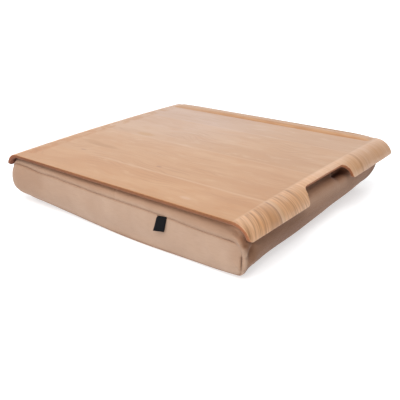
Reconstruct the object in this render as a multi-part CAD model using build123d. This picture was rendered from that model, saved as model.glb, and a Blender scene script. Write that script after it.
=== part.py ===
from build123d import *
import math
import os

os.makedirs("parts", exist_ok=True)

# ---------------------------------------------------------------------------
# Lap tray with cushion.
# Millimetres, +Z up, +X along the long side, -Y is the side with the tag.
# Origin: on the surface the cushion rests on, below the tray's centre.
# ---------------------------------------------------------------------------

# tray board: moulded plywood, its two short ends rolled down
TRAY_L = 460.0            # over both rolled ends
TRAY_W = 380.0            # front edge to rear edge
TRAY_TOP = 77.0           # height of the front and rear top edges
CROWN = 2.8               # the middle of the board stands this much higher
BOARD = 5.0               # total plywood thickness
PLY_DEPTHS = [0.0, 0.6, 1.9, 3.1, 4.4, 5.0]   # glue lines, from the top face
ROLL_R = 27.0             # outer radius of the rolled ends
ROLL_X = 203.3            # where the roll starts, from the centre
ROLL_DROP = 20.6          # the rolled edge is trimmed level, this far down
TIP_R = 5.0               # rounding of the four lower tips

# handle notch in each rolled end
NOTCH_HALF = 57.0         # half the width between its side walls
NOTCH_ANGLE = 27.0        # inner edge, degrees round the roll
NOTCH_R = 10.0            # inner corners
NOTCH_LIP_R = 4.5         # lower corners, rounded outwards

# low ledge glued along the rear edge, so that nothing slides off
LEDGE_HALF = 200.0
LEDGE_FRONT = 164.5
LEDGE_REAR = 188.0
LEDGE_H = 3.4
LEDGE_CORNER = 9.0
LEDGE_ROUND = 2.6

# hook tape under the board and loop tape on the cushion
TAPE_Y = 90.0
TAPE_W = 38.0
TAPE_HALF = 150.0
HOOK_T = 1.1
LOOP_T = 1.1

# cushion
CUSH_X = 219.0            # half length
CUSH_FRONT = -188.5
CUSH_REAR = 183.5
CUSH_TOP = TRAY_TOP - 5.5
CUSH_CORNER = 24.0        # upright edges
CUSH_ROUND_TOP = 18.0
CUSH_ROUND_LOW = 12.0
COVER_T = 1.0             # woven cover with its backing
LINER_T = 0.5             # inner bag

# seams of the cover
SEAM_IN = 11.0            # front and rear panels end this far in from the sides
SEAM_TOP = TRAY_TOP - 24.5
SEAM_LOW = 3.0
PANEL_R = 12.0
SEAM_DEPTH = 12.0         # how far the end panels reach round the edge

# zip in the rear panel
ZIP_Z = 34.0
ZIP_HALF = 186.0          # half length of the chain
ZIP_GAP = 0.7             # half the slit that the slider's post runs in
COIL_H = 2.2
COIL_T = 1.4
TAPE_H = 13.0             # visible and sewn width of each zip tape
TAPE_T = 0.6
WINDOW_HALF = 4.8
SLIDER_X = 177.0
SLIDER_L = 9.0
SLIDER_CLEAR = 0.3
PULL_AXIS_Y = CUSH_REAR + 3.0
PULL_L = 24.0

# folded ribbon tag in the front seam
TAG_X = 92.0
TAG_W = 16.0
TAG_DROP = 18.0
TAG_T = 0.5
TAG_TILT = 9.0


def save(shape, name):
    solids = shape.solids() if hasattr(shape, "solids") else [shape]
    solids = [s for s in solids if s.volume > 0.01]
    out = solids[0] if len(solids) == 1 else Compound(children=solids)
    out.label = name
    export_step(out, f"parts/{name}.step")


def box(x0, x1, y0, y1, z0, z1):
    return Pos((x0 + x1) / 2, (y0 + y1) / 2, (z0 + z1) / 2) * Box(x1 - x0, y1 - y0, z1 - z0)


# ---------------------------------------------------------------------------
# Tray board. The long section is turned about a far axis along X, which gives
# the board its slight crown from front to rear.
# ---------------------------------------------------------------------------
half_w = TRAY_W / 2
crown_r = (half_w ** 2 + CROWN ** 2) / (2 * CROWN)
top_z = TRAY_TOP + CROWN
turn = math.degrees(math.asin((half_w + 3.0) / (crown_r - 60.0)))
crown_axis = Axis((0, 0, top_z - crown_r), (1, 0, 0))


def layer_section(d0, d1, end_x=None):
    """Closed section in the XZ plane between two depths below the top face."""
    if end_x is not None:
        pts = [(-end_x, top_z - d0), (end_x, top_z - d0), (end_x, top_z - d1), (-end_x, top_z - d1)]
        edges = [Edge.make_line((a[0], 0, a[1]), (b[0], 0, b[1])) for a, b in zip(pts, pts[1:] + pts[:1])]
        return Face(Wire(edges))
    zc = top_z - ROLL_R
    reach = 12.0

    def on(r, deg, side):
        a = math.radians(deg)
        return (side * (ROLL_X + r * math.sin(a)), 0, zc + r * math.cos(a))

    r0, r1 = ROLL_R - d0, ROLL_R - d1
    lo = zc - reach
    edges = [
        Edge.make_line(on(r0, 0, -1), on(r0, 0, 1)),
        Edge.make_three_point_arc(on(r0, 0, 1), on(r0, 45, 1), on(r0, 90, 1)),
        Edge.make_line(on(r0, 90, 1), (ROLL_X + r0, 0, lo)),
        Edge.make_line((ROLL_X + r0, 0, lo), (ROLL_X + r1, 0, lo)),
        Edge.make_line((ROLL_X + r1, 0, lo), on(r1, 90, 1)),
        Edge.make_three_point_arc(on(r1, 90, 1), on(r1, 45, 1), on(r1, 0, 1)),
        Edge.make_line(on(r1, 0, 1), on(r1, 0, -1)),
        Edge.make_three_point_arc(on(r1, 0, -1), on(r1, 45, -1), on(r1, 90, -1)),
        Edge.make_line(on(r1, 90, -1), (-ROLL_X - r1, 0, lo)),
        Edge.make_line((-ROLL_X - r1, 0, lo), (-ROLL_X - r0, 0, lo)),
        Edge.make_line((-ROLL_X - r0, 0, lo), on(r0, 90, -1)),
        Edge.make_three_point_arc(on(r0, 90, -1), on(r0, 45, -1), on(r0, 0, -1)),
    ]
    return Face(Wire(edges))


def crowned(section, half_angle):
    start = section.rotate(crown_axis, -half_angle)
    return Solid.revolve(start, 2 * half_angle, crown_axis)


trim = box(-TRAY_L / 2 - 20, TRAY_L / 2 + 20, -half_w, half_w, TRAY_TOP - ROLL_DROP, top_z + 10)

# handle notch: a wedge behind the radial plane of its inner edge
roll_c = (ROLL_X, TRAY_TOP - ROLL_R + CROWN)
na = math.radians(NOTCH_ANGLE)
near = (roll_c[0] + 8 * math.sin(na), roll_c[1] + 8 * math.cos(na))
far = (roll_c[0] + 50 * math.sin(na), roll_c[1] + 50 * math.cos(na))


def notch(side):
    pts = [near, far, (275.0, far[1]), (275.0, 20.0), (near[0], 20.0)]
    pts3 = [(side * p[0], -NOTCH_HALF, p[1]) for p in pts]
    edges = [Edge.make_line(a, b) for a, b in zip(pts3, pts3[1:] + pts3[:1])]
    face = Face(Wire(edges))
    body = Solid.extrude(face, Vector(0, 2 * NOTCH_HALF, 0))
    picked = []
    for e in body.edges():
        m = e @ 0.5
        if abs(abs(m.Y) - NOTCH_HALF) < 1e-6:
            p0, p1 = e @ 0, e @ 1
            want = sorted([(round(side * near[0], 4), round(near[1], 4)), (round(side * far[0], 4), round(far[1], 4))])
            have = sorted([(round(p0.X, 4), round(p0.Z, 4)), (round(p1.X, 4), round(p1.Z, 4))])
            if want == have:
                picked.append(e)
    assert len(picked) == 2
    return body.fillet(NOTCH_R, picked)


def round_off(side, y, out, r):
    """Takes the sharp lower corner off a rolled edge at y; out points out of the wood."""
    z0 = TRAY_TOP - ROLL_DROP
    x0, x1 = sorted((side * 214.0, side * 236.0))
    y0, y1 = sorted((y + 0.5 * out, y - out * r))
    block = box(x0, x1, y0, y1, z0 - 0.5, z0 + r)
    rod = Pos((x0 + x1) / 2, y - out * r, z0 + r) * Rot(0, 90, 0) * Cylinder(r, x1 - x0 + 2)
    return block - rod


cutters = [notch(1), notch(-1)]
for side in (1, -1):
    for y, out in ((half_w, 1), (-half_w, -1)):
        cutters.append(round_off(side, y, out, TIP_R))
    for y, out in ((NOTCH_HALF, -1), (-NOTCH_HALF, 1)):
        cutters.append(round_off(side, y, out, NOTCH_LIP_R))

ply_names = ["tray_face_veneer", "tray_upper_crossband", "tray_core_ply",
             "tray_lower_crossband", "tray_back_veneer"]
for i, name in enumerate(ply_names):
    ply = crowned(layer_section(PLY_DEPTHS[i], PLY_DEPTHS[i + 1]), turn) & trim
    for c in cutters:
        ply = ply - c
    save(ply, name)

# ledge: it lies on the crowned face and all its upper edges are rounded
ledge = crowned(layer_section(-LEDGE_H, 0.0, LEDGE_HALF), turn)
outline = box(-LEDGE_HALF, LEDGE_HALF, LEDGE_FRONT, LEDGE_REAR, TRAY_TOP - 5, top_z + 10)
outline = fillet(outline.edges().filter_by(Axis.Z), LEDGE_CORNER)
ledge = ledge & outline
ledge = fillet(ledge.faces().sort_by(Axis.Z)[-1].edges(), LEDGE_ROUND)
save(ledge, "tray_rear_ledge")

# hook tape, glued to the underside of the board and following its crown
for name, y in (("tray_hook_tape_front", -TAPE_Y), ("tray_hook_tape_rear", TAPE_Y)):
    r = crown_r - BOARD
    strip = crowned(layer_section(BOARD, BOARD + HOOK_T, TAPE_HALF), turn)
    strip = strip & box(-TAPE_HALF - 5, TAPE_HALF + 5, y - TAPE_W / 2, y + TAPE_W / 2, 0, top_z)
    save(strip, name)


# ---------------------------------------------------------------------------
# Cushion: cover, inner bag and filling, one inside the other.
# ---------------------------------------------------------------------------
def pillow(inset):
    b = box(-CUSH_X + inset, CUSH_X - inset, CUSH_FRONT + inset, CUSH_REAR - inset, inset, CUSH_TOP - inset)
    b = fillet(b.edges().filter_by(Axis.Z), CUSH_CORNER - inset)
    top = b.faces().sort_by(Axis.Z)[-1]
    b = fillet(top.edges(), CUSH_ROUND_TOP - inset)
    low = b.faces().sort_by(Axis.Z)[0]
    b = fillet(low.edges(), CUSH_ROUND_LOW - inset)
    return b


def panel_prism(y0, y1, z0, z1):
    """Upright rounded rectangle, the outline of a front or rear panel."""
    b = box(-CUSH_X + SEAM_IN, CUSH_X - SEAM_IN, y0, y1, z0, z1)
    return fillet(b.edges().filter_by(Axis.Y), PANEL_R)


outer = pillow(0.0)
inner = pillow(COVER_T)
core = pillow(COVER_T + LINER_T)
shell = outer - inner

front_prism = panel_prism(CUSH_FRONT - 5, CUSH_FRONT + SEAM_DEPTH, SEAM_LOW, SEAM_TOP)
rear_prism = panel_prism(CUSH_REAR - SEAM_DEPTH, CUSH_REAR + 5, SEAM_LOW, SEAM_TOP)
base_prism = box(-CUSH_X + 16, CUSH_X - 16, CUSH_FRONT + 16, CUSH_REAR - 16, -5, 6)
base_prism = fillet(base_prism.edges().filter_by(Axis.Z), CUSH_CORNER - 8)

zip_back = CUSH_REAR - COVER_T          # inner face of the rear panel
zip_end = ZIP_HALF + 4.0
window = box(-zip_end, zip_end, zip_back - 1, CUSH_REAR + 5, ZIP_Z - WINDOW_HALF, ZIP_Z + WINDOW_HALF)
window = fillet(window.edges().filter_by(Axis.Y), 2.0)
recess_depth = 2.5
recess = box(-zip_end - 4, zip_end + 4, zip_back - recess_depth, zip_back + 5,
             ZIP_Z - TAPE_H - 2, ZIP_Z + TAPE_H + 2)
recess_core = box(-zip_end - 4 - LINER_T, zip_end + 4 + LINER_T, zip_back - recess_depth - LINER_T, zip_back + 5,
                  ZIP_Z - TAPE_H - 2 - LINER_T, ZIP_Z + TAPE_H + 2 + LINER_T)

save(shell & front_prism, "cover_front_panel")
rear = (shell & rear_prism) - window
save(rear & box(-300, 300, 0, 300, ZIP_Z, 100), "cover_rear_panel_upper")
save(rear & box(-300, 300, 0, 300, -5, ZIP_Z), "cover_rear_panel_lower")
save(shell & base_prism, "cover_bottom_panel")
save(shell - front_prism - rear_prism - base_prism, "cover_wrap_band")
bag = inner - recess
beads = core - recess_core
save(bag - beads, "inner_bag")
save(beads, "bead_filling")

# loop tape, sewn to the top of the cover under the hook tape
for name, y in (("cushion_loop_tape_front", -TAPE_Y), ("cushion_loop_tape_rear", TAPE_Y)):
    save(box(-TAPE_HALF, TAPE_HALF, y - TAPE_W / 2, y + TAPE_W / 2, CUSH_TOP, CUSH_TOP + LOOP_T), name)

# tag: a ribbon folded at the bottom, its two ends held in the front seam
tag_back = CUSH_FRONT - 0.05
with BuildPart() as tag_part:
    with BuildSketch(Plane.YZ) as _s:
        with BuildLine():
            r = TAG_T + 0.15
            l1 = Line((0, 0), (0, -TAG_DROP + r))
            l2 = ThreePointArc((0, -TAG_DROP + r), (-r, -TAG_DROP), (-2 * r, -TAG_DROP + r))
            l3 = Line((-2 * r, -TAG_DROP + r), (-2 * r, 0))
            l4 = Line((-2 * r, 0), (-2 * r + TAG_T, 0))
            l5 = Line((-2 * r + TAG_T, 0), (-2 * r + TAG_T, -TAG_DROP + r))
            l6 = ThreePointArc((-2 * r + TAG_T, -TAG_DROP + r), (-r, -TAG_DROP + TAG_T), (-TAG_T, -TAG_DROP + r))
            l7 = Line((-TAG_T, -TAG_DROP + r), (-TAG_T, 0))
            l8 = Line((-TAG_T, 0), (0, 0))
        make_face()
    extrude(amount=TAG_W / 2, both=True)
tag = Pos(TAG_X, tag_back, SEAM_TOP + 0.5) * Rot(0, TAG_TILT, 0) * tag_part.part
save(tag, "seam_tag")

# ---------------------------------------------------------------------------
# Zip in the rear panel
# ---------------------------------------------------------------------------
for name, s in (("zip_tape_upper", 1), ("zip_tape_lower", -1)):
    z0, z1 = sorted((ZIP_Z + s * ZIP_GAP, ZIP_Z + s * (ZIP_GAP + TAPE_H)))
    save(box(-zip_end - 2, zip_end + 2, zip_back - TAPE_T, zip_back, z0, z1), name)
for name, s in (("zip_coil_upper", 1), ("zip_coil_lower", -1)):
    z0, z1 = sorted((ZIP_Z + s * ZIP_GAP, ZIP_Z + s * (ZIP_GAP + COIL_H)))
    coil = box(-ZIP_HALF, ZIP_HALF, zip_back, zip_back + COIL_T, z0, z1)
    ridge = coil.faces().sort_by(Axis.Y)[-1].edges().filter_by(Axis.X)
    save(fillet(ridge, 0.6), name)

# two small clips close the coils at the closed end, one block at the other
stop_x = ZIP_HALF
clips = []
for s in (1, -1):
    z0, z1 = sorted((ZIP_Z + s * (ZIP_GAP + 0.2), ZIP_Z + s * (ZIP_GAP + COIL_H + 0.4)))
    clips.append(box(stop_x, stop_x + 2.0, zip_back, zip_back + COIL_T + 0.5, z0, z1))
save(Compound(children=clips), "zip_top_stops")
block = box(-stop_x - 3.0, -stop_x, zip_back, zip_back + COIL_T + 0.5,
            ZIP_Z - ZIP_GAP - COIL_H, ZIP_Z + ZIP_GAP + COIL_H)
save(fillet(block.edges().filter_by(Axis.Y), 0.5), "zip_bottom_stop")

# slider: a plate in front of the coils, one behind the tapes, joined by a thin
# post in the slit, with an arch that carries the pull
plate_t = 1.0
front_y0 = zip_back + COIL_T + SLIDER_CLEAR
front_y1 = front_y0 + plate_t
back_y1 = zip_back - TAPE_T - SLIDER_CLEAR
back_y0 = back_y1 - 1.2
half_h = 4.0
sx0, sx1 = SLIDER_X - SLIDER_L / 2, SLIDER_X + SLIDER_L / 2
plate = box(sx0, sx1, front_y0, front_y1, ZIP_Z - half_h, ZIP_Z + half_h)
plate = fillet(plate.edges().filter_by(Axis.Y), 1.5)
lips = []
for s in (1, -1):
    z0, z1 = sorted((ZIP_Z + s * (half_h - 0.8), ZIP_Z + s * half_h))
    lips.append(box(sx0 + 1.5, sx1 - 1.5, zip_back + SLIDER_CLEAR, front_y0, z0, z1))
back_plate = box(sx0, sx1, back_y0, back_y1, ZIP_Z - half_h, ZIP_Z + half_h)
back_plate = fillet(back_plate.edges().filter_by(Axis.Y), 1.5)
post = box(SLIDER_X - 2.5, SLIDER_X + 2.5, back_y1, front_y0, ZIP_Z - ZIP_GAP + SLIDER_CLEAR, ZIP_Z + ZIP_GAP - SLIDER_CLEAR)
arch = box(SLIDER_X - 2.6, SLIDER_X + 2.6, front_y1, PULL_AXIS_Y + 1.7, ZIP_Z - 1.0, ZIP_Z + 1.0)
arch = fillet(arch.faces().sort_by(Axis.Y)[-1].edges().filter_by(Axis.Z), 1.0)
arch = arch - box(SLIDER_X - 1.7, SLIDER_X + 1.7, front_y1, PULL_AXIS_Y + 0.9, ZIP_Z - 5, ZIP_Z + 5)
slider = plate + lips[0] + lips[1] + back_plate + post + arch
save(slider, "zip_slider")

# pull: a cross bar through the arch, two arms beside it and a flat blade
bar = Pos(SLIDER_X, PULL_AXIS_Y, ZIP_Z) * Cylinder(0.6, 4.0)
arms = []
for s in (1, -1):
    z0, z1 = sorted((ZIP_Z + s * 1.5, ZIP_Z + s * 2.6))
    arm = box(SLIDER_X - 6.5, SLIDER_X + 0.6, PULL_AXIS_Y - 0.6, PULL_AXIS_Y + 0.6, z0, z1)
    arms.append(fillet(arm.edges().filter_by(Axis.Z).sort_by(Axis.X)[-2:], 0.59))
blade = box(SLIDER_X - PULL_L, SLIDER_X - 5.0, PULL_AXIS_Y - 0.6, PULL_AXIS_Y + 0.6, ZIP_Z - 3.0, ZIP_Z + 3.0)
blade = fillet(blade.edges().filter_by(Axis.Y), 1.4)
hole = Pos(SLIDER_X - PULL_L + 5.5, PULL_AXIS_Y, ZIP_Z) * Rot(90, 0, 0) * Cylinder(1.3, 4.0)
pull = bar + arms[0] + arms[1] + blade - hole
save(pull, "zip_pull")
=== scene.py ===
import bpy
import bmesh
import math
import numpy as np
from mathutils import Matrix, Vector
from mathutils.bvhtree import BVHTree
from mathutils.geometry import delaunay_2d_cdt


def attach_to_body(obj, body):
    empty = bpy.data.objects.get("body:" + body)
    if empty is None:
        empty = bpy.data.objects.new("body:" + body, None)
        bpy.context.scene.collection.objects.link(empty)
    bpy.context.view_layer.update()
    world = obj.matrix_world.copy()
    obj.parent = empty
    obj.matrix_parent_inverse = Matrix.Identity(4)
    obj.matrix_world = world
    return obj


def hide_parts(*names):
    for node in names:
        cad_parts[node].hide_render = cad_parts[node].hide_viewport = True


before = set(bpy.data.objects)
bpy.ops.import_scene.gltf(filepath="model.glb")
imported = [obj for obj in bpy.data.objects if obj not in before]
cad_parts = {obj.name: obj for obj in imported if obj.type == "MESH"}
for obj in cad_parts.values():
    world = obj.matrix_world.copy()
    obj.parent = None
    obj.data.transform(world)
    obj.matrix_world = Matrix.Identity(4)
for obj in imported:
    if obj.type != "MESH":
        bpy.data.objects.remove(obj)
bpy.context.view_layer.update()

MM = 0.001
scene = bpy.context.scene

# ---------------------------------------------------------------------------
# Camera
# ---------------------------------------------------------------------------
AZ, EL, ROLL = 0.698022, 0.3985297, -0.0303296
right = Vector((math.cos(AZ), math.sin(AZ), 0))
fwd = Vector((-math.sin(AZ) * math.cos(EL), math.cos(AZ) * math.cos(EL), -math.sin(EL)))
up = right.cross(fwd)
cam_x = math.cos(ROLL) * right + math.sin(ROLL) * up
cam_y = -math.sin(ROLL) * right + math.cos(ROLL) * up
cam_data = bpy.data.cameras.new("camera")
cam_data.lens, cam_data.sensor_width = 598.319 * 36.0 / 400.0, 36.0
cam_data.clip_start, cam_data.clip_end = 0.05, 50
cam = bpy.data.objects.new("camera", cam_data)
scene.collection.objects.link(cam)
axes = Matrix((cam_x, cam_y, -fwd)).transposed().to_4x4()
axes.translation = Vector((0.564604, -0.674609, 0.357887))
cam.matrix_world = axes
scene.camera = cam
scene.view_settings.view_transform = "Standard"
scene.view_settings.look = "None"


# ---------------------------------------------------------------------------
# Small helpers
# ---------------------------------------------------------------------------
class Nodes:
    """Short notation for a node tree."""

    def __init__(self, tree):
        self.t = tree

    def add(self, kind, **props):
        n = self.t.nodes.new(kind)
        for k, v in props.items():
            setattr(n, k, v)
        return n

    def put(self, socket, value):
        if isinstance(value, bpy.types.NodeSocket):
            self.t.links.new(value, socket)
        elif value is not None:
            if hasattr(socket.default_value, "__len__"):
                value = tuple(value)
                n = len(socket.default_value)
                value = value + (1.0,) * (n - len(value)) if len(value) < n else value[:n]
            socket.default_value = value

    def math(self, op, a, b=None, c=None, clamp=False):
        n = self.add("ShaderNodeMath", operation=op, use_clamp=clamp)
        for s, v in zip(n.inputs, (a, b, c)):
            self.put(s, v)
        return n.outputs[0]

    def step(self, x, lo, hi, a=0.0, b=1.0, smooth=True):
        n = self.add("ShaderNodeMapRange", interpolation_type="SMOOTHSTEP" if smooth else "LINEAR")
        for s, v in zip(n.inputs, (x, lo, hi, a, b)):
            self.put(s, v)
        return n.outputs[0]

    def band(self, x, centre, half, soft):
        """1 inside a strip, 0 outside."""
        d = self.math("ABSOLUTE", self.math("SUBTRACT", x, centre))
        return self.step(d, half, half + soft, 1.0, 0.0)

    def vec(self, x, y, z):
        n = self.add("ShaderNodeCombineXYZ")
        for s, v in zip(n.inputs, (x, y, z)):
            self.put(s, v)
        return n.outputs[0]

    def noise(self, vector, scale, detail=2.0, rough=0.5, distortion=0.0):
        n = self.add("ShaderNodeTexNoise")
        self.put(n.inputs["Vector"], vector)
        n.inputs["Scale"].default_value = scale
        n.inputs["Detail"].default_value = detail
        n.inputs["Roughness"].default_value = rough
        n.inputs["Distortion"].default_value = distortion
        return n.outputs["Fac"]

    def mix(self, fac, a, b, mode="MIX"):
        n = self.add("ShaderNodeMix", data_type="RGBA", blend_type=mode)
        self.put(n.inputs["Factor"], fac)
        self.put(n.inputs[6], a)
        self.put(n.inputs[7], b)
        return n.outputs[2]


def material(name, rough=0.5, spec=0.5, sheen=0.0, metal=0.0):
    m = bpy.data.materials.new(name)
    m.use_nodes = True
    t = Nodes(m.node_tree)
    bsdf = m.node_tree.nodes["Principled BSDF"]
    bsdf.inputs["Roughness"].default_value = rough
    bsdf.inputs["Specular IOR Level"].default_value = spec
    bsdf.inputs["Sheen Weight"].default_value = sheen
    bsdf.inputs["Sheen Roughness"].default_value = 0.5
    bsdf.inputs["Metallic"].default_value = metal
    return m, t, bsdf


def bump(t, bsdf, height, strength, distance):
    n = t.add("ShaderNodeBump")
    t.put(n.inputs["Height"], height)
    n.inputs["Strength"].default_value = strength
    n.inputs["Distance"].default_value = distance
    t.t.links.new(n.outputs[0], bsdf.inputs["Normal"])


def piece(name, verts_mm, faces, mat, body, replaces=(), smooth=True):
    me = bpy.data.meshes.new(name)
    me.from_pydata([tuple(v) for v in np.asarray(verts_mm, float) * MM], [], [tuple(int(i) for i in f) for f in faces])
    me.update()
    if smooth:
        me.shade_smooth()
    ob = bpy.data.objects.new(name, me)
    scene.collection.objects.link(ob)
    me.materials.append(mat)
    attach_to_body(ob, body)
    if replaces:
        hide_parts(*replaces)
    return ob


def inside(px, py, loop):
    """Which points lie inside a closed loop of points."""
    x0, y0 = loop[:, 0], loop[:, 1]
    x1, y1 = np.roll(x0, -1), np.roll(y0, -1)
    res = np.zeros(len(px), bool)
    for a, b, c, d in zip(x0, y0, x1, y1):
        if b == d:
            continue
        hit = (b > py) != (d > py)
        res ^= hit & (px < (c - a) * (py - b) / (d - b) + a)
    return res


def far_from(px, py, line, gap, closed=True):
    """Which points are further than gap from a polyline."""
    a = line
    b = np.roll(line, -1, 0) if closed else line[1:]
    a = a if closed else line[:-1]
    ok = np.ones(len(px), bool)
    for (ax, ay), (bx, by) in zip(a, b):
        near = (px > min(ax, bx) - gap) & (px < max(ax, bx) + gap) & (py > min(ay, by) - gap) & (py < max(ay, by) + gap) & ok
        i = np.flatnonzero(near)
        if not len(i):
            continue
        d2 = (bx - ax) ** 2 + (by - ay) ** 2
        t = np.clip(((px[i] - ax) * (bx - ax) + (py[i] - ay) * (by - ay)) / max(d2, 1e-12), 0, 1)
        dist = np.hypot(px[i] - ax - t * (bx - ax), py[i] - ay - t * (by - ay))
        ok[i[dist < gap]] = False
    return ok


def cdt(points, loops, opened=()):
    """Triangles over the first loop's inside, with every line kept as edges."""
    loops = [np.asarray(l, int) for l in loops]
    edges = []
    for l in loops[1:]:
        edges += [(int(a), int(b)) for a, b in zip(l, np.roll(l, -1))]
    for l in opened:
        edges += [(int(a), int(b)) for a, b in zip(l[:-1], l[1:])]
    v, _, f, ov, _, _ = delaunay_2d_cdt([Vector(p) for p in points], edges, [[int(i) for i in loops[0]]], 1, 1e-5, True)
    first = np.array([o[0] if o else -1 for o in ov])
    out = np.array([(p.x, p.y) for p in v])
    tri = np.array([list(t) for t in f if len(t) == 3], int)
    a, b, c = out[tri[:, 0]], out[tri[:, 1]], out[tri[:, 2]]
    area = (b[:, 0] - a[:, 0]) * (c[:, 1] - a[:, 1]) - (b[:, 1] - a[:, 1]) * (c[:, 0] - a[:, 0])
    mid = out[tri].mean(1)
    good = (np.abs(area) > 1e-7) & inside(mid[:, 0], mid[:, 1], np.array(points)[loops[0]])
    tri, flip = tri[good], area[good] < 0
    tri[flip] = tri[flip][:, ::-1]
    return out, tri, first


# ---------------------------------------------------------------------------
# Tray board: five glued plies on one developed outline (s, y)
# ---------------------------------------------------------------------------
R, ROLL_X, DROP, TOP, CROWN, HALF_W = 27.0, 203.3, 20.6, 77.0, 2.8, 190.0
PLY = [0.0, 0.6, 1.9, 3.1, 4.4, 5.0]


def crown(y):
    return CROWN * (1 - (np.asarray(y, float) / HALF_W) ** 2)


def t_end(d, y):
    return np.arccos((R - DROP - crown(y)) / (R - d))


T_KEEP = math.radians(30)


def board_angle(s, y, d):
    t = np.maximum(np.abs(s) - ROLL_X, 0) / R
    k = (t_end(d, y) - T_KEEP) / (t_end(0, y) - T_KEEP)
    return np.where(t > T_KEEP, T_KEEP + (t - T_KEEP) * k, t)


def board_point(s, y, d):
    t = board_angle(s, y, d)
    x = np.sign(s) * (np.minimum(np.abs(s), ROLL_X) + (R - d) * np.sin(t))
    return np.stack([x, y + 0 * s, TOP + crown(y) - R + (R - d) * np.cos(t)], -1)


def board_frame(s, y, d):
    """Unit vectors along s, along y and out of the face."""
    t = board_angle(s, y, d)
    sg = np.sign(s)
    c = -2 * CROWN * y / HALF_W ** 2
    es = np.stack([np.cos(t), 0 * t, -sg * np.sin(t)], -1)
    ey = np.stack([0 * t, 1 + 0 * t, c], -1)
    ey /= np.linalg.norm(ey, axis=-1, keepdims=True)
    n = np.cross(es, ey)
    n /= np.linalg.norm(n, axis=-1, keepdims=True)
    return es, ey, n


def board_outline():
    pts = []

    def run(fn, a, b, step):
        n = max(2, int(math.ceil(abs(b - a) / step)) + 1)
        for v in np.linspace(a, b, n)[:-1]:
            pts.append(fn(v))

    def arc(cx, cy, r, a0, a1, n=7):
        for a in np.radians(np.linspace(a0, a1, n))[:-1]:
            pts.append((cx + r * math.cos(a), cy + r * math.sin(a)))

    def end(y):
        return ROLL_X + R * float(t_end(0, y))

    sn = ROLL_X + R * math.radians(27.0)
    se, tip, lip = end(190.0), 5.0, 5.0
    for sg in (1, -1):
        k = lambda s, y, sg=sg: (sg * s, sg * y)
        start = len(pts)
        run(lambda s: k(s, -190.0), -ROLL_X, ROLL_X, 8.0)
        run(lambda s: k(s, -190.0), ROLL_X, se - tip, 1.5)
        n0 = len(pts)
        arc(se - tip, -185.0, tip, -90, 0)
        pts[n0:] = [k(*p) for p in pts[n0:]]
        run(lambda y: k(end(y), y), -185.0, -60.0 - lip, 5.0)
        em = end(60.0)
        n0 = len(pts)
        arc(em - lip, -60.0 - lip, lip, 0, 90)
        pts[n0:] = [k(*p) for p in pts[n0:]]
        run(lambda s: k(s, -60.0 + 4.0 * (em - lip - s) / (em - lip - sn)), em - lip, sn + 10.5, 2.0)
        n0 = len(pts)
        for a in np.radians(np.linspace(0, 90, 9))[:-1]:
            pts.append((sn + 10.5 * (1 - math.sin(a)), -56.6 + 11.0 * (1 - math.cos(a))))
        pts[n0:] = [k(*p) for p in pts[n0:]]
        run(lambda y: k(sn, y), -45.6, 45.6, 4.0)
        n0 = len(pts)
        for a in np.radians(np.linspace(90, 0, 9))[:-1]:
            pts.append((sn + 10.5 * (1 - math.sin(a)), 56.6 - 11.0 * (1 - math.cos(a))))
        pts[n0:] = [k(*p) for p in pts[n0:]]
        run(lambda s: k(s, 60.0 - 4.0 * (em - lip - s) / (em - lip - sn)), sn + 10.5, em - lip, 2.0)
        n0 = len(pts)
        arc(em - lip, 60.0 + lip, lip, -90, 0)
        pts[n0:] = [k(*p) for p in pts[n0:]]
        run(lambda y: k(end(y), y), 60.0 + lip, 185.0, 5.0)
        n0 = len(pts)
        arc(se - tip, 185.0, tip, 0, 90)
        pts[n0:] = [k(*p) for p in pts[n0:]]
        run(lambda s: k(s, 190.0), se - tip, ROLL_X, 1.5)
    return np.array(pts)


loop = board_outline()
keep = np.hypot(*(loop - np.roll(loop, 1, 0)).T) > 0.05
loop = loop[keep]
edge_dir = np.roll(loop, -1, 0) - loop
edge_dir /= np.linalg.norm(edge_dir, axis=1, keepdims=True)
edge_n = np.stack([edge_dir[:, 1], -edge_dir[:, 0]], 1)
out_n = edge_n + np.roll(edge_n, 1, 0)
out_n /= np.linalg.norm(out_n, axis=1, keepdims=True)

ss = np.concatenate([np.arange(-200, 201, 10.0), np.arange(ROLL_X + 0.4, 242, 1.7), -np.arange(ROLL_X + 0.4, 242, 1.7)])
yy = np.arange(-186, 187, 7.75)
gs, gy = [a.ravel() for a in np.meshgrid(ss, yy)]
ok = inside(gs, gy, loop) & far_from(gs, gy, loop, 1.9)
ring_in = loop - out_n * 1.9
ok_ring = inside(ring_in[:, 0], ring_in[:, 1], loop) & far_from(ring_in[:, 0], ring_in[:, 1], loop, 1.5)
gx = np.concatenate([ring_in[ok_ring], np.stack([gs[ok], gy[ok]], 1)])
pts2 = np.concatenate([loop, gx])
b_uv, b_tri, b_first = cdt(pts2, [np.arange(len(loop))])
n_loop = len(loop)
where = {int(o): i for i, o in enumerate(b_first) if 0 <= o < n_loop}
rim = np.array([where[i] for i in range(n_loop)])
EASE_TOP, EASE_LOW = 0.9, 0.6


def inset(d):
    a = EASE_TOP - math.sqrt(max(EASE_TOP ** 2 - max(EASE_TOP - d, 0) ** 2, 0))
    h = BOARD_T - d
    b = EASE_LOW - math.sqrt(max(EASE_LOW ** 2 - max(EASE_LOW - h, 0) ** 2, 0))
    return a + b


BOARD_T = PLY[-1]


def tilt(d):
    """How far the eased edge's normal has turned from the face (0) to the side (1)."""
    if d < EASE_TOP:
        return math.acos(min(1, (EASE_TOP - d) / EASE_TOP)), 1
    if BOARD_T - d < EASE_LOW:
        return math.acos(min(1, (EASE_LOW - (BOARD_T - d)) / EASE_LOW)), -1
    return math.pi / 2, 1


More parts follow.
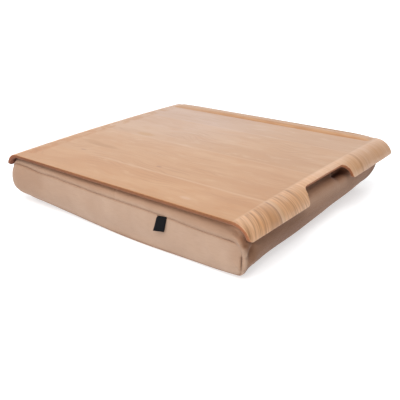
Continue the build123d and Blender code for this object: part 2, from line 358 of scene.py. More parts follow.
def ply(name, d0, d1, mat):
    ds = sorted(set([d0, d1] + [v for v in (0.06, 0.16, 0.32, 0.6, 0.9, 4.4, 4.7, 4.88, 4.96) if d0 < v < d1]))
    s, y = b_uv[:, 0].copy(), b_uv[:, 1].copy()
    n = len(s)
    layers, normals, co = [], [], []

    def rim_sy(d):
        p = loop - out_n * inset(d)
        return p[:, 0], p[:, 1]

    def rim_normal(rs, ry, d):
        es, ey, nn = board_frame(rs, ry, d)
        o = es * out_n[:, :1] + ey * out_n[:, 1:]
        a, sg = tilt(d)
        v = math.cos(a) * sg * nn + math.sin(a) * o
        return v / np.linalg.norm(v, axis=1, keepdims=True)

    for d, sg in ((ds[0], 1), (ds[-1], -1)):
        rs, ry = rim_sy(d)
        s2, y2 = s.copy(), y.copy()
        s2[rim], y2[rim] = rs, ry
        layers.append(board_point(s2, y2, d))
        nn = sg * board_frame(s2, y2, d)[2]
        nn[rim] = rim_normal(rs, ry, d) if (d < 0.01 or d > BOARD_T - 0.01) else sg * board_frame(rs, ry, d)[2]
        normals.append(nn)
        co.append(np.stack([s2, y2, 0 * s2 + d], 1))
    verts = [layers[0], layers[1]]
    coords = [co[0], co[1]]
    faces = [tuple(f) for f in b_tri] + [tuple(f[::-1] + n) for f in b_tri]
    loops_n = [normals[0][i] for f in b_tri for i in f] + [normals[1][i] for f in b_tri for i in f[::-1]]
    base = 2 * n
    ids, nrm = [rim], [rim_normal(*rim_sy(ds[0]), ds[0])]
    for d in ds[1:-1]:
        rs, ry = rim_sy(d)
        verts.append(board_point(rs, ry, d))
        coords.append(np.stack([rs, ry, 0 * rs + d], 1))
        ids.append(np.arange(base, base + n_loop))
        nrm.append(rim_normal(rs, ry, d))
        base += n_loop
    ids.append(rim + n)
    nrm.append(rim_normal(*rim_sy(ds[-1]), ds[-1]))
    for k in range(len(ids) - 1):
        a, b, na, nb = ids[k], ids[k + 1], nrm[k], nrm[k + 1]
        for i in range(n_loop):
            j = (i + 1) % n_loop
            faces.append((a[i], b[i], b[j], a[j]))
            loops_n += [na[i], nb[i], nb[j], na[j]]
    ob = piece(name, np.concatenate(verts), faces, mat, "tray", [name.replace("wood_", "tray_")])
    me = ob.data
    me.normals_split_custom_set([tuple(v) for v in loops_n])
    at = me.attributes.new("wood_co", "FLOAT_VECTOR", "POINT")
    at.data.foreach_set("vector", (np.concatenate(coords) * MM).astype(np.float32).ravel())
    return ob


# --- wood materials ---------------------------------------------------------
def wood_coords(t):
    a = t.add("ShaderNodeAttribute", attribute_name="wood_co")
    sep = t.add("ShaderNodeSeparateXYZ")
    t.t.links.new(a.outputs["Vector"], sep.inputs[0])
    return sep.outputs[0], sep.outputs[1], sep.outputs[2]


def veneer_material():
    m, t, bsdf = material("face_veneer", rough=0.36, spec=0.5)
    s, y, d = wood_coords(t)
    # slow waves turn straight grain into flames
    wob = t.noise(t.vec(t.math("MULTIPLY", s, 7.0), t.math("MULTIPLY", y, 15.0), 0.3), 1.0, 2.0, 0.5)
    yw = t.math("ADD", y, t.math("MULTIPLY", t.math("SUBTRACT", wob, 0.5), 0.036))
    fine = t.noise(t.vec(t.math("MULTIPLY", s, 26.0), t.math("MULTIPLY", yw, 520.0), 1.7), 1.0, 3.0, 0.6)
    mid = t.noise(t.vec(t.math("MULTIPLY", s, 10.0), t.math("MULTIPLY", yw, 118.0), 4.1), 1.0, 3.0, 0.55)
    broad = t.noise(t.vec(t.math("MULTIPLY", s, 5.5), t.math("MULTIPLY", yw, 26.0), 8.8), 1.0, 2.0, 0.5)
    base = t.mix(t.step(broad, 0.3, 0.7), (0.470, 0.282, 0.165), (0.428, 0.234, 0.120))
    patch = t.noise(t.vec(t.math("MULTIPLY", s, 26.0), t.math("MULTIPLY", yw, 78.0), 12.0), 1.0, 2.5, 0.6)
    base = t.mix(t.step(patch, 0.50, 0.72, 0.0, 0.55), base, (0.436, 0.228, 0.108))
    base = t.mix(t.step(patch, 0.46, 0.28, 0.0, 0.42), base, (0.510, 0.335, 0.222))
    base = t.mix(t.step(mid, 0.48, 0.78, 0.0, 0.24), base, (0.330, 0.165, 0.080))
    base = t.mix(t.step(mid, 0.46, 0.25, 0.0, 0.18), base, (0.500, 0.315, 0.200))
    base = t.mix(t.step(fine, 0.48, 0.8, 0.0, 0.14), base, (0.300, 0.150, 0.075))
    # cathedral figure: thin contour lines of the warped field, stronger in places
    flame = t.math("ADD", t.math("MULTIPLY", y, 1.0), t.math("MULTIPLY", t.noise(t.vec(t.math("MULTIPLY", s, 9.0), t.math("MULTIPLY", y, 13.0), 21.0), 1.0, 1.5, 0.5), 0.075))
    rings = t.step(t.math("SINE", t.math("MULTIPLY", flame, 2 * math.pi / 0.0066)), 0.25, 1.0)
    rings = t.math("MULTIPLY", rings, t.step(t.noise(t.vec(t.math("MULTIPLY", s, 11.0), t.math("MULTIPLY", y, 20.0), 31.0), 1.0, 2.0), 0.46, 0.64, 0.0, 0.40))
    base = t.mix(rings, base, (0.345, 0.178, 0.088))
    # four leaves of veneer, joined along X
    for at, to, tint in ((-0.30, -0.125, (1.05, 0.94, 0.76)), (-0.125, -0.016, (1.04, 0.96, 0.82)), (-0.016, 0.094, (1.02, 0.98, 0.89)), (0.094, 0.30, (1.00, 1.00, 0.99))):
        inside_leaf = t.math("MULTIPLY", t.step(y, at - 0.0006, at + 0.0006), t.step(y, to - 0.0006, to + 0.0006, 1.0, 0.0))
        base = t.mix(inside_leaf, base, t.mix(1.0, base, tint, "MULTIPLY"))
    # painted reflection: the leaves are paler and pinker towards the far left rear corner, standing in for the
    # lacquer's reflection of the white backdrop there; a little deeper at the right
    left_rear_reflection = t.math("MULTIPLY", t.step(s, 0.12, -0.08), t.step(y, -0.09, 0.09))
    base = t.mix(left_rear_reflection, base, t.mix(1.0, base, (1.0, 1.075, 1.32), "MULTIPLY"))
    base = t.mix(t.step(s, 0.06, 0.17), base, t.mix(1.0, base, (0.955, 0.935, 0.925), "MULTIPLY"))
    for at, amount, lo in ((-0.1250, 0.26, -0.075), (-0.016, 0.14, -0.20), (0.094, 0.13, -0.17)):
        wave = t.math("MULTIPLY", t.math("SUBTRACT", t.noise(t.vec(t.math("MULTIPLY", s, 9.0), at, 0.0), 1.0, 1.0), 0.5), 0.006)
        line = t.band(t.math("ADD", y, wave), at, 0.0007, 0.0024)
        line = t.math("MULTIPLY", line, t.step(s, lo - 0.05, lo + 0.03))
        base = t.mix(t.math("MULTIPLY", line, amount), base, (0.60, 0.41, 0.28))
    # orange heartwood streaks and small knots
    for cs, cy, ls, ly, col, amount in (
        (-0.124, -0.086, 0.036, 0.0062, (0.385, 0.185, 0.070), 0.85),
        (-0.152, -0.080, 0.022, 0.0045, (0.400, 0.195, 0.075), 0.65),
        (-0.108, -0.006, 0.018, 0.0070, (0.430, 0.225, 0.090), 0.9),
        (0.016, -0.106, 0.005, 0.0022, (0.26, 0.110, 0.055), 0.55),
        (-0.134, -0.116, 0.006, 0.0022, (0.28, 0.120, 0.060), 0.5),
        (0.026, -0.004, 0.0045, 0.002, (0.33, 0.150, 0.075), 0.4),
        (0.118, -0.168, 0.009, 0.0035, (0.54, 0.330, 0.215), 0.6),
    ):
        ds = t.math("DIVIDE", t.math("SUBTRACT", s, cs), ls)
        dy = t.math("DIVIDE", t.math("SUBTRACT", t.math("ADD", y, t.math("MULTIPLY", t.math("SUBTRACT", wob, 0.5), 0.010)), cy), ly)
        r2 = t.math("ADD", t.math("MULTIPLY", ds, ds), t.math("MULTIPLY", dy, dy))
        base = t.mix(t.step(r2, 0.1, 1.6, amount, 0.0), base, col)
    # the veneer wraps down the rolled ends, with painted light: they are made paler and bluer, a little differently for
    # the two leaves and less so behind the notch, standing in for the light and reflection they catch from above right;
    # then its latewood lines
    fan = t.math("MULTIPLY", t.math("SUBTRACT", t.math("ABSOLUTE", s), 0.203), t.step(y, -0.19, -0.10, 0.42, -0.10, smooth=False))
    yb = t.math("ADD", y, fan)
    on_roll = t.step(t.math("ABSOLUTE", s), 0.2025, 0.2075, 0.0, 1.0)
    base = t.mix(on_roll, base, t.mix(1.0, base, (1.13, 1.20, 1.40), "MULTIPLY"))
    ahead = t.math("MULTIPLY", on_roll, t.step(y, -0.130, -0.122, 1.0, 0.0))
    base = t.mix(ahead, base, t.mix(1.0, base, (1.20, 1.26, 1.32), "MULTIPLY"))
    behind = t.math("MULTIPLY", on_roll, t.step(y, -0.126, -0.118, 0.0, 1.0))
    base = t.mix(behind, base, t.mix(1.0, base, (1.24, 1.32, 1.40), "MULTIPLY"))
    rear = t.math("MULTIPLY", on_roll, t.step(y, 0.040, 0.075, 0.0, 1.0))
    base = t.mix(rear, base, t.mix(1.0, base, (0.88, 0.83, 0.75), "MULTIPLY"))
    shade = t.math("MULTIPLY", t.band(yb, -0.1345, 0.0045, 0.008), t.math("MULTIPLY", on_roll, 0.45))
    base = t.mix(shade, base, (0.350, 0.180, 0.088))
    dens = t.noise(t.vec(0.0, t.math("MULTIPLY", y, 22.0), 2.2), 1.0, 1.0, 0.5)
    ph = t.math("ADD", t.math("MULTIPLY", yb, 2 * math.pi / 0.0059), t.math("MULTIPLY", dens, 19.0))
    ph = t.math("ADD", ph, t.math("MULTIPLY", t.noise(t.vec(t.math("MULTIPLY", s, 20.0), t.math("MULTIPLY", y, 50.0), 0.0), 1.0, 1.0), 2.4))
    line = t.step(t.math("SINE", ph), 0.0, 1.0)
    uneven = t.noise(t.vec(t.math("MULTIPLY", s, 9.0), t.math("MULTIPLY", yb, 190.0), 9.0), 1.0, 3.0, 0.62)
    line = t.math("ADD", t.math("MULTIPLY", line, 0.38), t.step(uneven, 0.49, 0.64, 0.0, 0.80), clamp=True)
    which = t.step(t.noise(t.vec(t.math("MULTIPLY", s, 3.0), t.math("MULTIPLY", y, 60.0), 6.0), 1.0, 2.0), 0.30, 0.58, 0.35, 1.0)
    line = t.math("MULTIPLY", line, which)
    front_part = t.step(y, -0.068, -0.052, 0.80, 0.22)
    base = t.mix(t.math("MULTIPLY", line, t.math("MULTIPLY", on_roll, front_part)), base, (0.245, 0.118, 0.050))
    for at, wide, amount in ((-0.1265, 0.0014, 0.50), (0.090, 0.0030, 0.30)):
        dark = t.math("MULTIPLY", t.band(y, at, wide * 0.4, wide), t.math("MULTIPLY", on_roll, amount))
        base = t.mix(dark, base, (0.215, 0.098, 0.045))
    light = t.math("MULTIPLY", t.band(y, -0.1215, 0.0015, 0.002), t.math("MULTIPLY", on_roll, 0.40))
    base = t.mix(light, base, (0.60, 0.42, 0.27))
    # a thin paler line where the rolled ends start
    rim_line = t.band(t.math("ABSOLUTE", s), 0.2050, 0.0006, 0.0018)
    base = t.mix(t.math("MULTIPLY", rim_line, 0.12), base, (0.66, 0.47, 0.33))
    # painted reflection: a mottled, more orange strip where the left roll starts, painted without the pale reflection
    # the rest of the top shows, as the lacquer there mirrors the dim floor rather than the white backdrop
    unreflected_strip = t.math("MULTIPLY", t.step(s, -0.188, -0.181, 1.0, 0.0), t.step(s, -0.209, -0.202, 0.0, 1.0))
    spots = t.noise(t.vec(t.math("MULTIPLY", s, 60.0), t.math("MULTIPLY", y, 55.0), 3.0), 1.0, 3.0, 0.6)
    unreflected_strip = t.math("MULTIPLY", unreflected_strip, t.step(spots, 0.42, 0.58, 0.10, 1.0))
    base = t.mix(t.math("MULTIPLY", unreflected_strip, 0.85), base, t.mix(1.0, base, (0.90, 0.72, 0.42), "MULTIPLY"))
    # cut edge of the veneer
    edge = t.step(d, 0.0002, 0.0005)
    base = t.mix(t.math("MULTIPLY", edge, 0.7), base, (0.44, 0.205, 0.105))
    t.t.links.new(base, bsdf.inputs["Base Color"])
    bump(t, bsdf, t.math("ADD", t.math("MULTIPLY", fine, 0.6), t.math("MULTIPLY", mid, 0.4)), 0.10, 0.0004)
    return m


def ply_material(name, light, dark, along_y=False, rough=0.6, shaded_cut_edge=False):
    m, t, bsdf = material(name, rough=rough, spec=0.15)
    s, y, d = wood_coords(t)
    a, b = (y, s) if along_y else (s, y)
    g = t.noise(t.vec(t.math("MULTIPLY", a, 8.0), t.math("MULTIPLY", b, 340.0), t.math("MULTIPLY", d, 900.0)), 1.0, 3.0, 0.6)
    base = t.mix(t.step(g, 0.3, 0.72), light, dark)
    pores = t.noise(t.vec(t.math("MULTIPLY", s, 900.0), t.math("MULTIPLY", y, 900.0), t.math("MULTIPLY", d, 1600.0)), 1.0, 2.0, 0.6)
    base = t.mix(t.step(pores, 0.58, 0.75, 0.0, 0.45), base, tuple(c * 0.5 for c in dark))
    # painted shade and painted reflection: the edge is darker towards the left end, as if in shade, and paler at the
    # right one, as if mirroring the sky
    base = t.mix(t.step(s, -0.19, -0.215), base, t.mix(1.0, base, (1.15, 1.02, 1.04), "MULTIPLY"))
    base = t.mix(t.step(s, -0.03, -0.17), base, t.mix(1.0, base, (0.82, 0.76, 0.74), "MULTIPLY"))
    base = t.mix(t.step(s, 0.195, 0.215), base, t.mix(1.0, base, (1.30, 1.25, 1.30), "MULTIPLY"))
    # painted shade: the back veneer's cut edge along the underside is darkened as if in shadow, its open face isn't
    if shaded_cut_edge:
        base = t.mix(t.step(d, 0.00490, 0.00497, 0.6, 0.0), base, (0.190, 0.080, 0.038))
    t.t.links.new(base, bsdf.inputs["Base Color"])
    bump(t, bsdf, pores, 0.25, 0.0003)
    return m


mat_veneer = veneer_material()
mat_cross = ply_material("upper_crossband_ply", (0.325, 0.128, 0.052), (0.220, 0.080, 0.032), along_y=True)
mat_core = ply_material("core_ply", (0.290, 0.120, 0.054), (0.195, 0.076, 0.033))
mat_low = ply_material("lower_crossband_ply", (0.290, 0.116, 0.054), (0.205, 0.080, 0.036), along_y=True)
mat_back = ply_material("back_veneer", (0.420, 0.230, 0.160), (0.330, 0.170, 0.112), shaded_cut_edge=True)

ply("wood_face_veneer", PLY[0], PLY[1], mat_veneer)
ply("wood_upper_crossband", PLY[1], PLY[2], mat_cross)
ply("wood_core_ply", PLY[2], PLY[3], mat_core)
ply("wood_lower_crossband", PLY[3], PLY[4], mat_low)
ply("wood_back_veneer", PLY[4], PLY[5], mat_back)


# --- rear ledge --------------------------------------------------------------
def ledge():
    rings, verts, faces, co = [], [], [], []
    steps = [0.0, 0.02, 0.07, 0.14, 0.23, 0.33, 0.45, 0.58, 0.72, 0.86, 1.0]
    for t_ in steps:
        x0, x1 = -201 + 15 * t_, 200.5 - 10 * t_
        y0, y1 = 163.8 + 13.5 * t_, 188 - 3.6 * t_
        h = -0.25 + 3.65 * (1 - (1 - t_) ** 1.9)
        xc, yc, hx, hy = (x0 + x1) / 2, (y0 + y1) / 2, (x1 - x0) / 2, (y1 - y0) / 2
        rr = max(8.0 - 6.4 * t_, 1.2)
        ring = []
        for cx, cy, a0 in ((hx - rr, -(hy - rr), -90), (hx - rr, hy - rr, 0), (-(hx - rr), hy - rr, 90), (-(hx - rr), -(hy - rr), 180)):
            for a in np.radians(np.linspace(a0, a0 + 90, 9)):
                ring.append((xc + cx + rr * math.cos(a), yc + cy + rr * math.sin(a)))
        full = []
        for i, p in enumerate(ring):
            n = ring[(i + 1) % len(ring)]
            full.append(p)
            if math.hypot(n[0] - p[0], n[1] - p[1]) > 50:
                for f in np.linspace(0, 1, 41)[1:-1]:
                    full.append((p[0] + f * (n[0] - p[0]), p[1] + f * (n[1] - p[1])))
        full = np.array(full)
        z = TOP + crown(full[:, 1]) + h * (1 - 0.5 * np.clip((full[:, 0] - 168) / 32, 0, 1) - 0.25 * np.clip((-150 - full[:, 0]) / 48, 0, 1))
        rings.append(np.arange(len(verts), len(verts) + len(full)))
        verts += [tuple(v) for v in np.column_stack([full, z])]
        co += [(x, y, h) for x, y in full]
    for a, b in zip(rings[:-1], rings[1:]):
        for i in range(len(a)):
            j = (i + 1) % len(a)
            faces.append((a[i], a[j], b[j], b[i]))
    faces.append(tuple(rings[-1]))
    faces.append(tuple(rings[0][::-1]))
    m, t, bsdf = material("ledge_wood", rough=0.42, spec=0.35)
    s, y, d = wood_coords(t)
    g = t.noise(t.vec(t.math("MULTIPLY", s, 4.0), t.math("MULTIPLY", y, 210.0), t.math("MULTIPLY", d, 160.0)), 1.0, 3.0, 0.55)
    f = t.noise(t.vec(t.math("MULTIPLY", s, 12.0), t.math("MULTIPLY", y, 700.0), t.math("MULTIPLY", d, 500.0)), 1.0, 2.0, 0.6)
    base = t.mix(t.step(g, 0.3, 0.7), (0.500, 0.272, 0.132), (0.400, 0.192, 0.080))
    patches = t.noise(t.vec(t.math("MULTIPLY", s, 30.0), t.math("MULTIPLY", y, 90.0), 0.0), 1.0, 2.0, 0.5)
    base = t.mix(t.step(patches, 0.42, 0.62, 0.0, 0.5), base, (0.365, 0.160, 0.060))
    base = t.mix(t.step(f, 0.5, 0.8, 0.0, 0.3), base, (0.28, 0.13, 0.06))
    # painted reflection: the ledge is paler on its rounded top and towards its left end, standing in for its lacquer
    # mirroring the white backdrop
    upper = t.step(y, 0.1695, 0.1745, 0.0, 0.62)
    base = t.mix(upper, base, (0.455, 0.285, 0.180))
    base = t.mix(t.step(s, -0.05, -0.16, 0.0, 0.6), base, (0.445, 0.275, 0.172))
    t.t.links.new(base, bsdf.inputs["Base Color"])
    bump(t, bsdf, f, 0.10, 0.0003)
    ob = piece("wood_rear_ledge", verts, faces, m, "tray", ["tray_rear_ledge"])
    at = ob.data.attributes.new("wood_co", "FLOAT_VECTOR", "POINT")
    at.data.foreach_set("vector", (np.array(co) * MM).astype(np.float32).ravel())


ledge()


# ---------------------------------------------------------------------------
# Cushion cover. A ring coordinate a runs round the cushion, S runs up its side.
# ---------------------------------------------------------------------------
CX, CF, CR, CT = 219.0, -188.5, 183.5, 71.5
H = 100.0
RAD = {"FL": 15.0, "FR": 7.0, "RR": 27.0, "RL": 25.0}


def ring_curve():
    pts = [(-CX, 0.0)]

    def arc(cx, cy, r, a0, a1):
        for a in np.radians(np.linspace(a0, a1, 41)):
            pts.append((cx + r * math.cos(a), cy + r * math.sin(a)))

    arc(-CX + RAD["FL"], CF + RAD["FL"], RAD["FL"], 180, 270)
    arc(CX - RAD["FR"], CF + RAD["FR"], RAD["FR"], 270, 360)
    arc(CX - RAD["RR"], CR - RAD["RR"], RAD["RR"], 0, 90)
    arc(-CX + RAD["RL"], CR - RAD["RL"], RAD["RL"], 90, 180)
    pts.append((-CX, 0.0))
    p = np.array(pts)
    d = np.concatenate([[0], np.cumsum(np.hypot(*np.diff(p, axis=0).T))])
    fine = np.arange(0, d[-1], 0.5)
    q = np.stack([np.interp(fine, d, p[:, 0]), np.interp(fine, d, p[:, 1])], 1)
    return fine, q, d[-1]


RA, RQ, PERIM = ring_curve()
_t = np.roll(RQ, -1, 0) - np.roll(RQ, 1, 0)
for _ in range(4):
    _t = (_t + np.roll(_t, 1, 0) + np.roll(_t, -1, 0)) / 3
_t /= np.linalg.norm(_t, axis=1, keepdims=True)
RN = np.stack([_t[:, 1], -_t[:, 0]], 1)


def ring_at(a):
    a = np.mod(a, PERIM)
    f = lambda c: np.interp(a, np.append(RA, PERIM), np.append(c, c[0]))
    n = np.stack([f(RN[:, 0]), f(RN[:, 1])], -1)
    return np.stack([f(RQ[:, 0]), f(RQ[:, 1])], -1), n / np.linalg.norm(n, axis=-1, keepdims=True)


def a_of(x, y):
    """Ring coordinate of the outline's point nearest to (x, y)."""
    return float(RA[np.argmin((RQ[:, 0] - x) ** 2 + (RQ[:, 1] - y) ** 2)])


A_FL0, A_FL1 = a_of(-CX, CF + RAD["FL"]), a_of(-CX + RAD["FL"], CF)
A_FR0, A_FR1 = a_of(CX - RAD["FR"], CF), a_of(CX, CF + RAD["FR"])
A_RR0, A_RR1 = a_of(CX, CR - RAD["RR"]), a_of(CX - RAD["RR"], CR)
A_RL0, A_RL1 = a_of(-CX + RAD["RL"], CR), a_of(-CX, CR - RAD["RL"])


def key(a, pairs):
    """Smooth value along the ring from (a, value) pairs."""
    k = sorted(pairs)
    xs = np.array([p[0] for p in k])
    vs = np.array([p[1] for p in k])
    xs = np.concatenate([xs[-2:] - PERIM, xs, xs[:2] + PERIM])
    vs = np.concatenate([vs[-2:], vs, vs[:2]])
    g = np.linspace(xs[0], xs[-1], 6001)
    v = np.interp(g, xs, vs)
    w = max(3, int(18.0 / (g[1] - g[0])))
    v = np.convolve(np.pad(v, w, mode="edge"), np.ones(2 * w + 1) / (2 * w + 1), "valid")
    return np.interp(np.mod(a, PERIM), g, v)


LOW = [(a_of(x, CF), r) for x, r in ((-200, 28), (-186, 25.5), (-155, 24), (-124, 21), (-95, 19), (-67, 16), (-40, 14), (-14, 11.5), (11, 9.6), (57, 8.8), (98, 11), (137, 13.0), (174, 14.5), (191, 15.8), (203, 17.3), (212, 18.0))]
LOW += [(a_of(CX, y), r) for y, r in ((-180, 21), (-174, 27), (-168, 32), (-159, 35.5), (-143, 38.5), (-125, 40), (-58, 41), (-24, 44), (11, 46), (50, 50.5), (89, 52), (130, 56.5), (155, 59))]
LOW += [(a_of(x, CR), r) for x, r in ((190, 46), (172, 30), (150, 15), (0, 13), (-150, 15), (-172, 28), (-190, 38))]
LOW += [(a_of(-CX, y), r) for y, r in ((150, 42), (0, 36), (-120, 34), (-160, 31))]
UPP = [(a_of(x, CF), r) for x, r in ((-205, 15), (-185, 11), (-120, 12.5), (-60, 13), (0, 13.5), (100, 14.5), (160, 17), (205, 22))]
UPP += [(a_of(CX, y), r) for y, r in ((-178, 23), (-165, 22), (-140, 19), (-75, 19), (-45, 21), (0, 24), (45, 21), (75, 18), (100, 15), (130, 13), (160, 13))]
UPP += [(a_of(x, CR), 18) for x in (190, 0, -190)] + [(a_of(-CX, y), r) for y, r in ((150, 18), (75, 19), (45, 22), (0, 23), (-40, 21), (-75, 17), (-150, 15), (-170, 17))]
BUL = [(a_of(x, CF), b) for x, b in ((-210, 10.8), (-190, 5.5), (-120, 1.8), (0, 1.6), (190, 1.4))] + [(a_of(CX, y), b) for y, b in ((-172, 0.3), (-140, 0.3), (0, 0.3), (150, 0.3))]
BUL += [(a_of(x, CR), 0.0) for x in (190, 0, -190)] + [(a_of(-CX, y), b) for y, b in ((150, 1.5), (0, 3.0), (-140, 7.5), (-175, 11.0))]
NP = 160


def profiles(a):
    """Inset and height up the side at each ring coordinate: arrays (len(a), NP), and arc length from 0 to 1."""
    rl, ru, bu = (sum(key(a + o * k, t) for o in (-3, -2, -1, 0, 1, 2, 3))[:, None] / 7 for t, k in ((LOW, 1.2), (UPP, 3.5), (BUL, 5.0)))
    ru = np.minimum(ru, CT - rl - 1.0)
    u = np.linspace(0, 1, NP)[None, :]
    # low arc, wall, top arc in equal shares
    lo = np.clip(u / 0.36, 0, 1) * math.pi / 2
    hi = np.clip((u - 0.74) / 0.26, 0, 1) * math.pi / 2
    wall = np.clip((u - 0.36) / 0.38, 0, 1)
    z = rl * (1 - np.cos(lo)) + (CT - rl - ru) * wall + ru * np.sin(hi)
    q = rl * (1 - np.sin(lo)) + ru * (1 - np.cos(hi)) - bu * np.sin(math.pi * np.clip(z / CT, 0, 1) ** 1.15)
    q[:, 0], q[:, -1] = rl[:, 0], ru[:, 0]
    ln = np.concatenate([np.zeros((len(a), 1)), np.cumsum(np.hypot(np.diff(z, axis=1), np.diff(q, axis=1)), 1)], 1)
    return q, z, ln / ln[:, -1:]


SEGS, _at = [], 0.0
for kind, name, length in (
    ("side", "left", -CF - RAD["FL"]), ("arc", "FL", RAD["FL"] * math.pi / 2), ("side", "front", 2 * CX - RAD["FL"] - RAD["FR"]),
    ("arc", "FR", RAD["FR"] * math.pi / 2), ("side", "right", CR - CF - RAD["FR"] - RAD["RR"]), ("arc", "RR", RAD["RR"] * math.pi / 2),
    ("side", "rear", 2 * CX - RAD["RR"] - RAD["RL"]), ("arc", "RL", RAD["RL"] * math.pi / 2), ("side", "left2", CR - RAD["RL"]),
):
    SEGS.append((kind, name, _at, _at + length))
    _at += length
TRUE_PERIM = _at


def side_xy(a, q):
    """Plan position of ring coordinate a, moved inward by q, with corners that keep a least radius."""
    a = np.mod(np.asarray(a, float), PERIM) * TRUE_PERIM / PERIM
    x, y = np.zeros_like(a), np.zeros_like(a)

    def least(r):
        A, B, E = r - q, 6.0, 4.0
        return 0.5 * (A + B + np.sqrt((A - B) ** 2 + E ** 2)) - 0.5 * (r + B + math.sqrt((r - B) ** 2 + E ** 2)) + r

    re = {k: least(v) for k, v in RAD.items()}
    sx = {"FL": -1, "FR": 1, "RR": 1, "RL": -1}
    for kind, name, a0, a1 in SEGS:
        m = (a >= a0) & (a <= a1)
        f = (a - a0) / (a1 - a0)
        if kind == "arc":
            start = {"FL": 180, "FR": 270, "RR": 0, "RL": 90}[name]
            phi = np.radians(start + 90 * f)
            r = re[name]
            cx = sx[name] * (CX - q - r)
            cy = CF + q + r if name[0] == "F" else CR - q - r
            px, py = cx + r * np.cos(phi), cy + r * np.sin(phi)
        elif name in ("front", "rear"):
            lc, rc = ("FL", "FR") if name == "front" else ("RL", "RR")
            xl, xr = -CX + RAD[lc], CX - RAD[rc]
            base = xl + (xr - xl) * f if name == "front" else xr + (xl - xr) * f
            px = np.where(base > 0, base * (CX - q - re[rc]) / xr, base * (CX - q - re[lc]) / -xl)
            py = (CF + q) if name == "front" else (CR - q)
        else:
            fc, bc = ("FR", "RR") if name == "right" else ("FL", "RL")
            yf, yb = CF + RAD[fc], CR - RAD[bc]
            base = yf + (yb - yf) * f if name == "right" else (yf * f if name == "left" else yb * (1 - f))
            py = np.where(base > 0, base * (CR - q - re[bc]) / yb, base * (-CF - q - re[fc]) / -yf)
            px = (CX - q) if name == "right" else -(CX - q)
        x[m], y[m] = np.broadcast_to(px, a.shape)[m], np.broadcast_to(py, a.shape)[m]
    return np.stack([x, y], -1)


def side_point(a, S):
    a = np.asarray(a, float)
    q, z, ln = profiles(a)
    f = np.clip(np.asarray(S, float) / H, 0, 1)
    qi = np.array([np.interp(v, l, c) for v, l, c in zip(f, ln, q)])
    zi = np.array([np.interp(v, l, c) for v, l, c in zip(f, ln, z)])
    return np.column_stack([side_xy(a, qi), zi])


def S_of(a, z):
    a = np.atleast_1d(np.asarray(a, float))
    _, zz, ln = profiles(a)
    z = np.broadcast_to(z, a.shape)
    return H * np.array([np.interp(v, c, l) for v, c, l in zip(z, zz, ln)])


def seam_height(x):
    xs = [-220, -205, -195, -181, -168, -152, -138, -122, -109, -96, -80, -57, -41, -22, 0, 24, 58, 86, 104, 119, 133, 148, 160, 175, 199, 222]
    zs = [63.3, 63.4, 63.4, 62.9, 61.2, 59.2, 58.7, 59.2, 59.0, 57.7, 57.0, 56.0, 54.9, 54.2, 54.0, 53.5, 53.0, 52.0, 51.8, 51.2, 50.2, 49.3, 48.8, 48.8, 48.5, 48.0]
    return np.interp(x, xs, zs)


def panel_loop(a0, a1, top, low, r, step=4.0):
    """Closed rounded outline of a panel in (a, S)."""
    out = []

    def arc(cx, cy, a_from, a_to, n=6):
        for w in np.radians(np.linspace(a_from, a_to, n + 1)):
            out.append((cx + r * math.cos(w), cy + r * math.sin(w)))

    tl, tr = top(a0 + r), top(a1 - r)
    ll, lr = low(a0 + r), low(a1 - r)
    for a in np.arange(a0 + r + step, a1 - r - 1, step):
        out.append((a, low(a)))
    arc(a1 - r, lr + r, -90, 0)
    for s in np.arange(lr + r + step, tr - r - 1, step):
        out.append((a1, s))
    arc(a1 - r, tr - r, 0, 90)
    for a in np.arange(a1 - r - step, a0 + r + 1, -step):
        out.append((a, top(a)))
    arc(a0 + r, tl - r, 90, 180)
    for s in np.arange(tl - r - step, ll + r + 1, -step):
        out.append((a0, s))
    arc(a0 + r, ll + r, 180, 270)
    return np.array(out)


def front_top(a):
    x = float(ring_at(np.array([a]))[0][0, 0])
    return float(S_of(a, float(seam_height(x)))[0])


def low_at(z):
    return lambda a: float(S_of(a, z)[0])


A_PL = A_FL0 + 0.45 * (A_FL1 - A_FL0)
A_PR = A_FR0 + 0.30 * (A_FR1 - A_FR0)
front_loop = panel_loop(A_PL, A_PR, front_top, low_at(2.6), 13.0)
A_QR, A_QL = A_RR1 - 0.3 * (A_RR1 - A_RR0), A_RL0 + 0.3 * (A_RL1 - A_RL0)
rear_loop = panel_loop(A_QR, A_QL, low_at(54.5), low_at(3.0), 12.0)
A_WR, A_WL = a_of(190, CR), a_of(-190, CR)
window = panel_loop(A_WR, A_WL, low_at(38.8), low_at(29.2), 2.0, step=4.0)
mid_z = 34.0
x_join = a_of(7.5, CF)
rows_top = np.linspace(0, 1, 9)


def offset(l, by):
    d = np.roll(l, -1, 0) - np.roll(l, 1, 0)
    d /= np.maximum(np.linalg.norm(d, axis=1, keepdims=True), 1e-9)
    return l + by * np.stack([d[:, 1], -d[:, 0]], 1)


points, groups = [], {}


def add(name, pts):
    start = sum(len(p) for p in points)
    points.append(np.asarray(pts, float))
    groups[name] = np.arange(start, start + len(pts))
    return groups[name]


step_a = PERIM / round(PERIM / 5.0)
row_s = np.linspace(0, H, 21)
a_samples = np.arange(0, PERIM - 0.5 * step_a, step_a)
border = [(a, 0.0) for a in a_samples] + [(PERIM, s) for s in row_s[:-1]] + [(a, H) for a in a_samples[::-1] + step_a] + [(0.0, s) for s in row_s[:0:-1]]
add("border", border)
add("front", front_loop)
add("rear", rear_loop)
add("window", window)
# slits that part the two rear panels beyond the window's ends
a_lo, a_hi = A_WR, A_QR
mid_r = np.array([(a, float(S_of(a, mid_z)[0])) for a in np.linspace(A_QR, A_WR, 6)])
mid_l = np.array([(a, float(S_of(a, mid_z)[0])) for a in np.linspace(A_WL, A_QL, 6)])


def snap_end(line, loop_pts, idx, name):
    """Ends of a line are taken from the loop's own points."""
    i = int(np.argmin(np.hypot(loop_pts[:, 0] - line[0], loop_pts[:, 1] - line[1])))
    return int(groups[name][i])


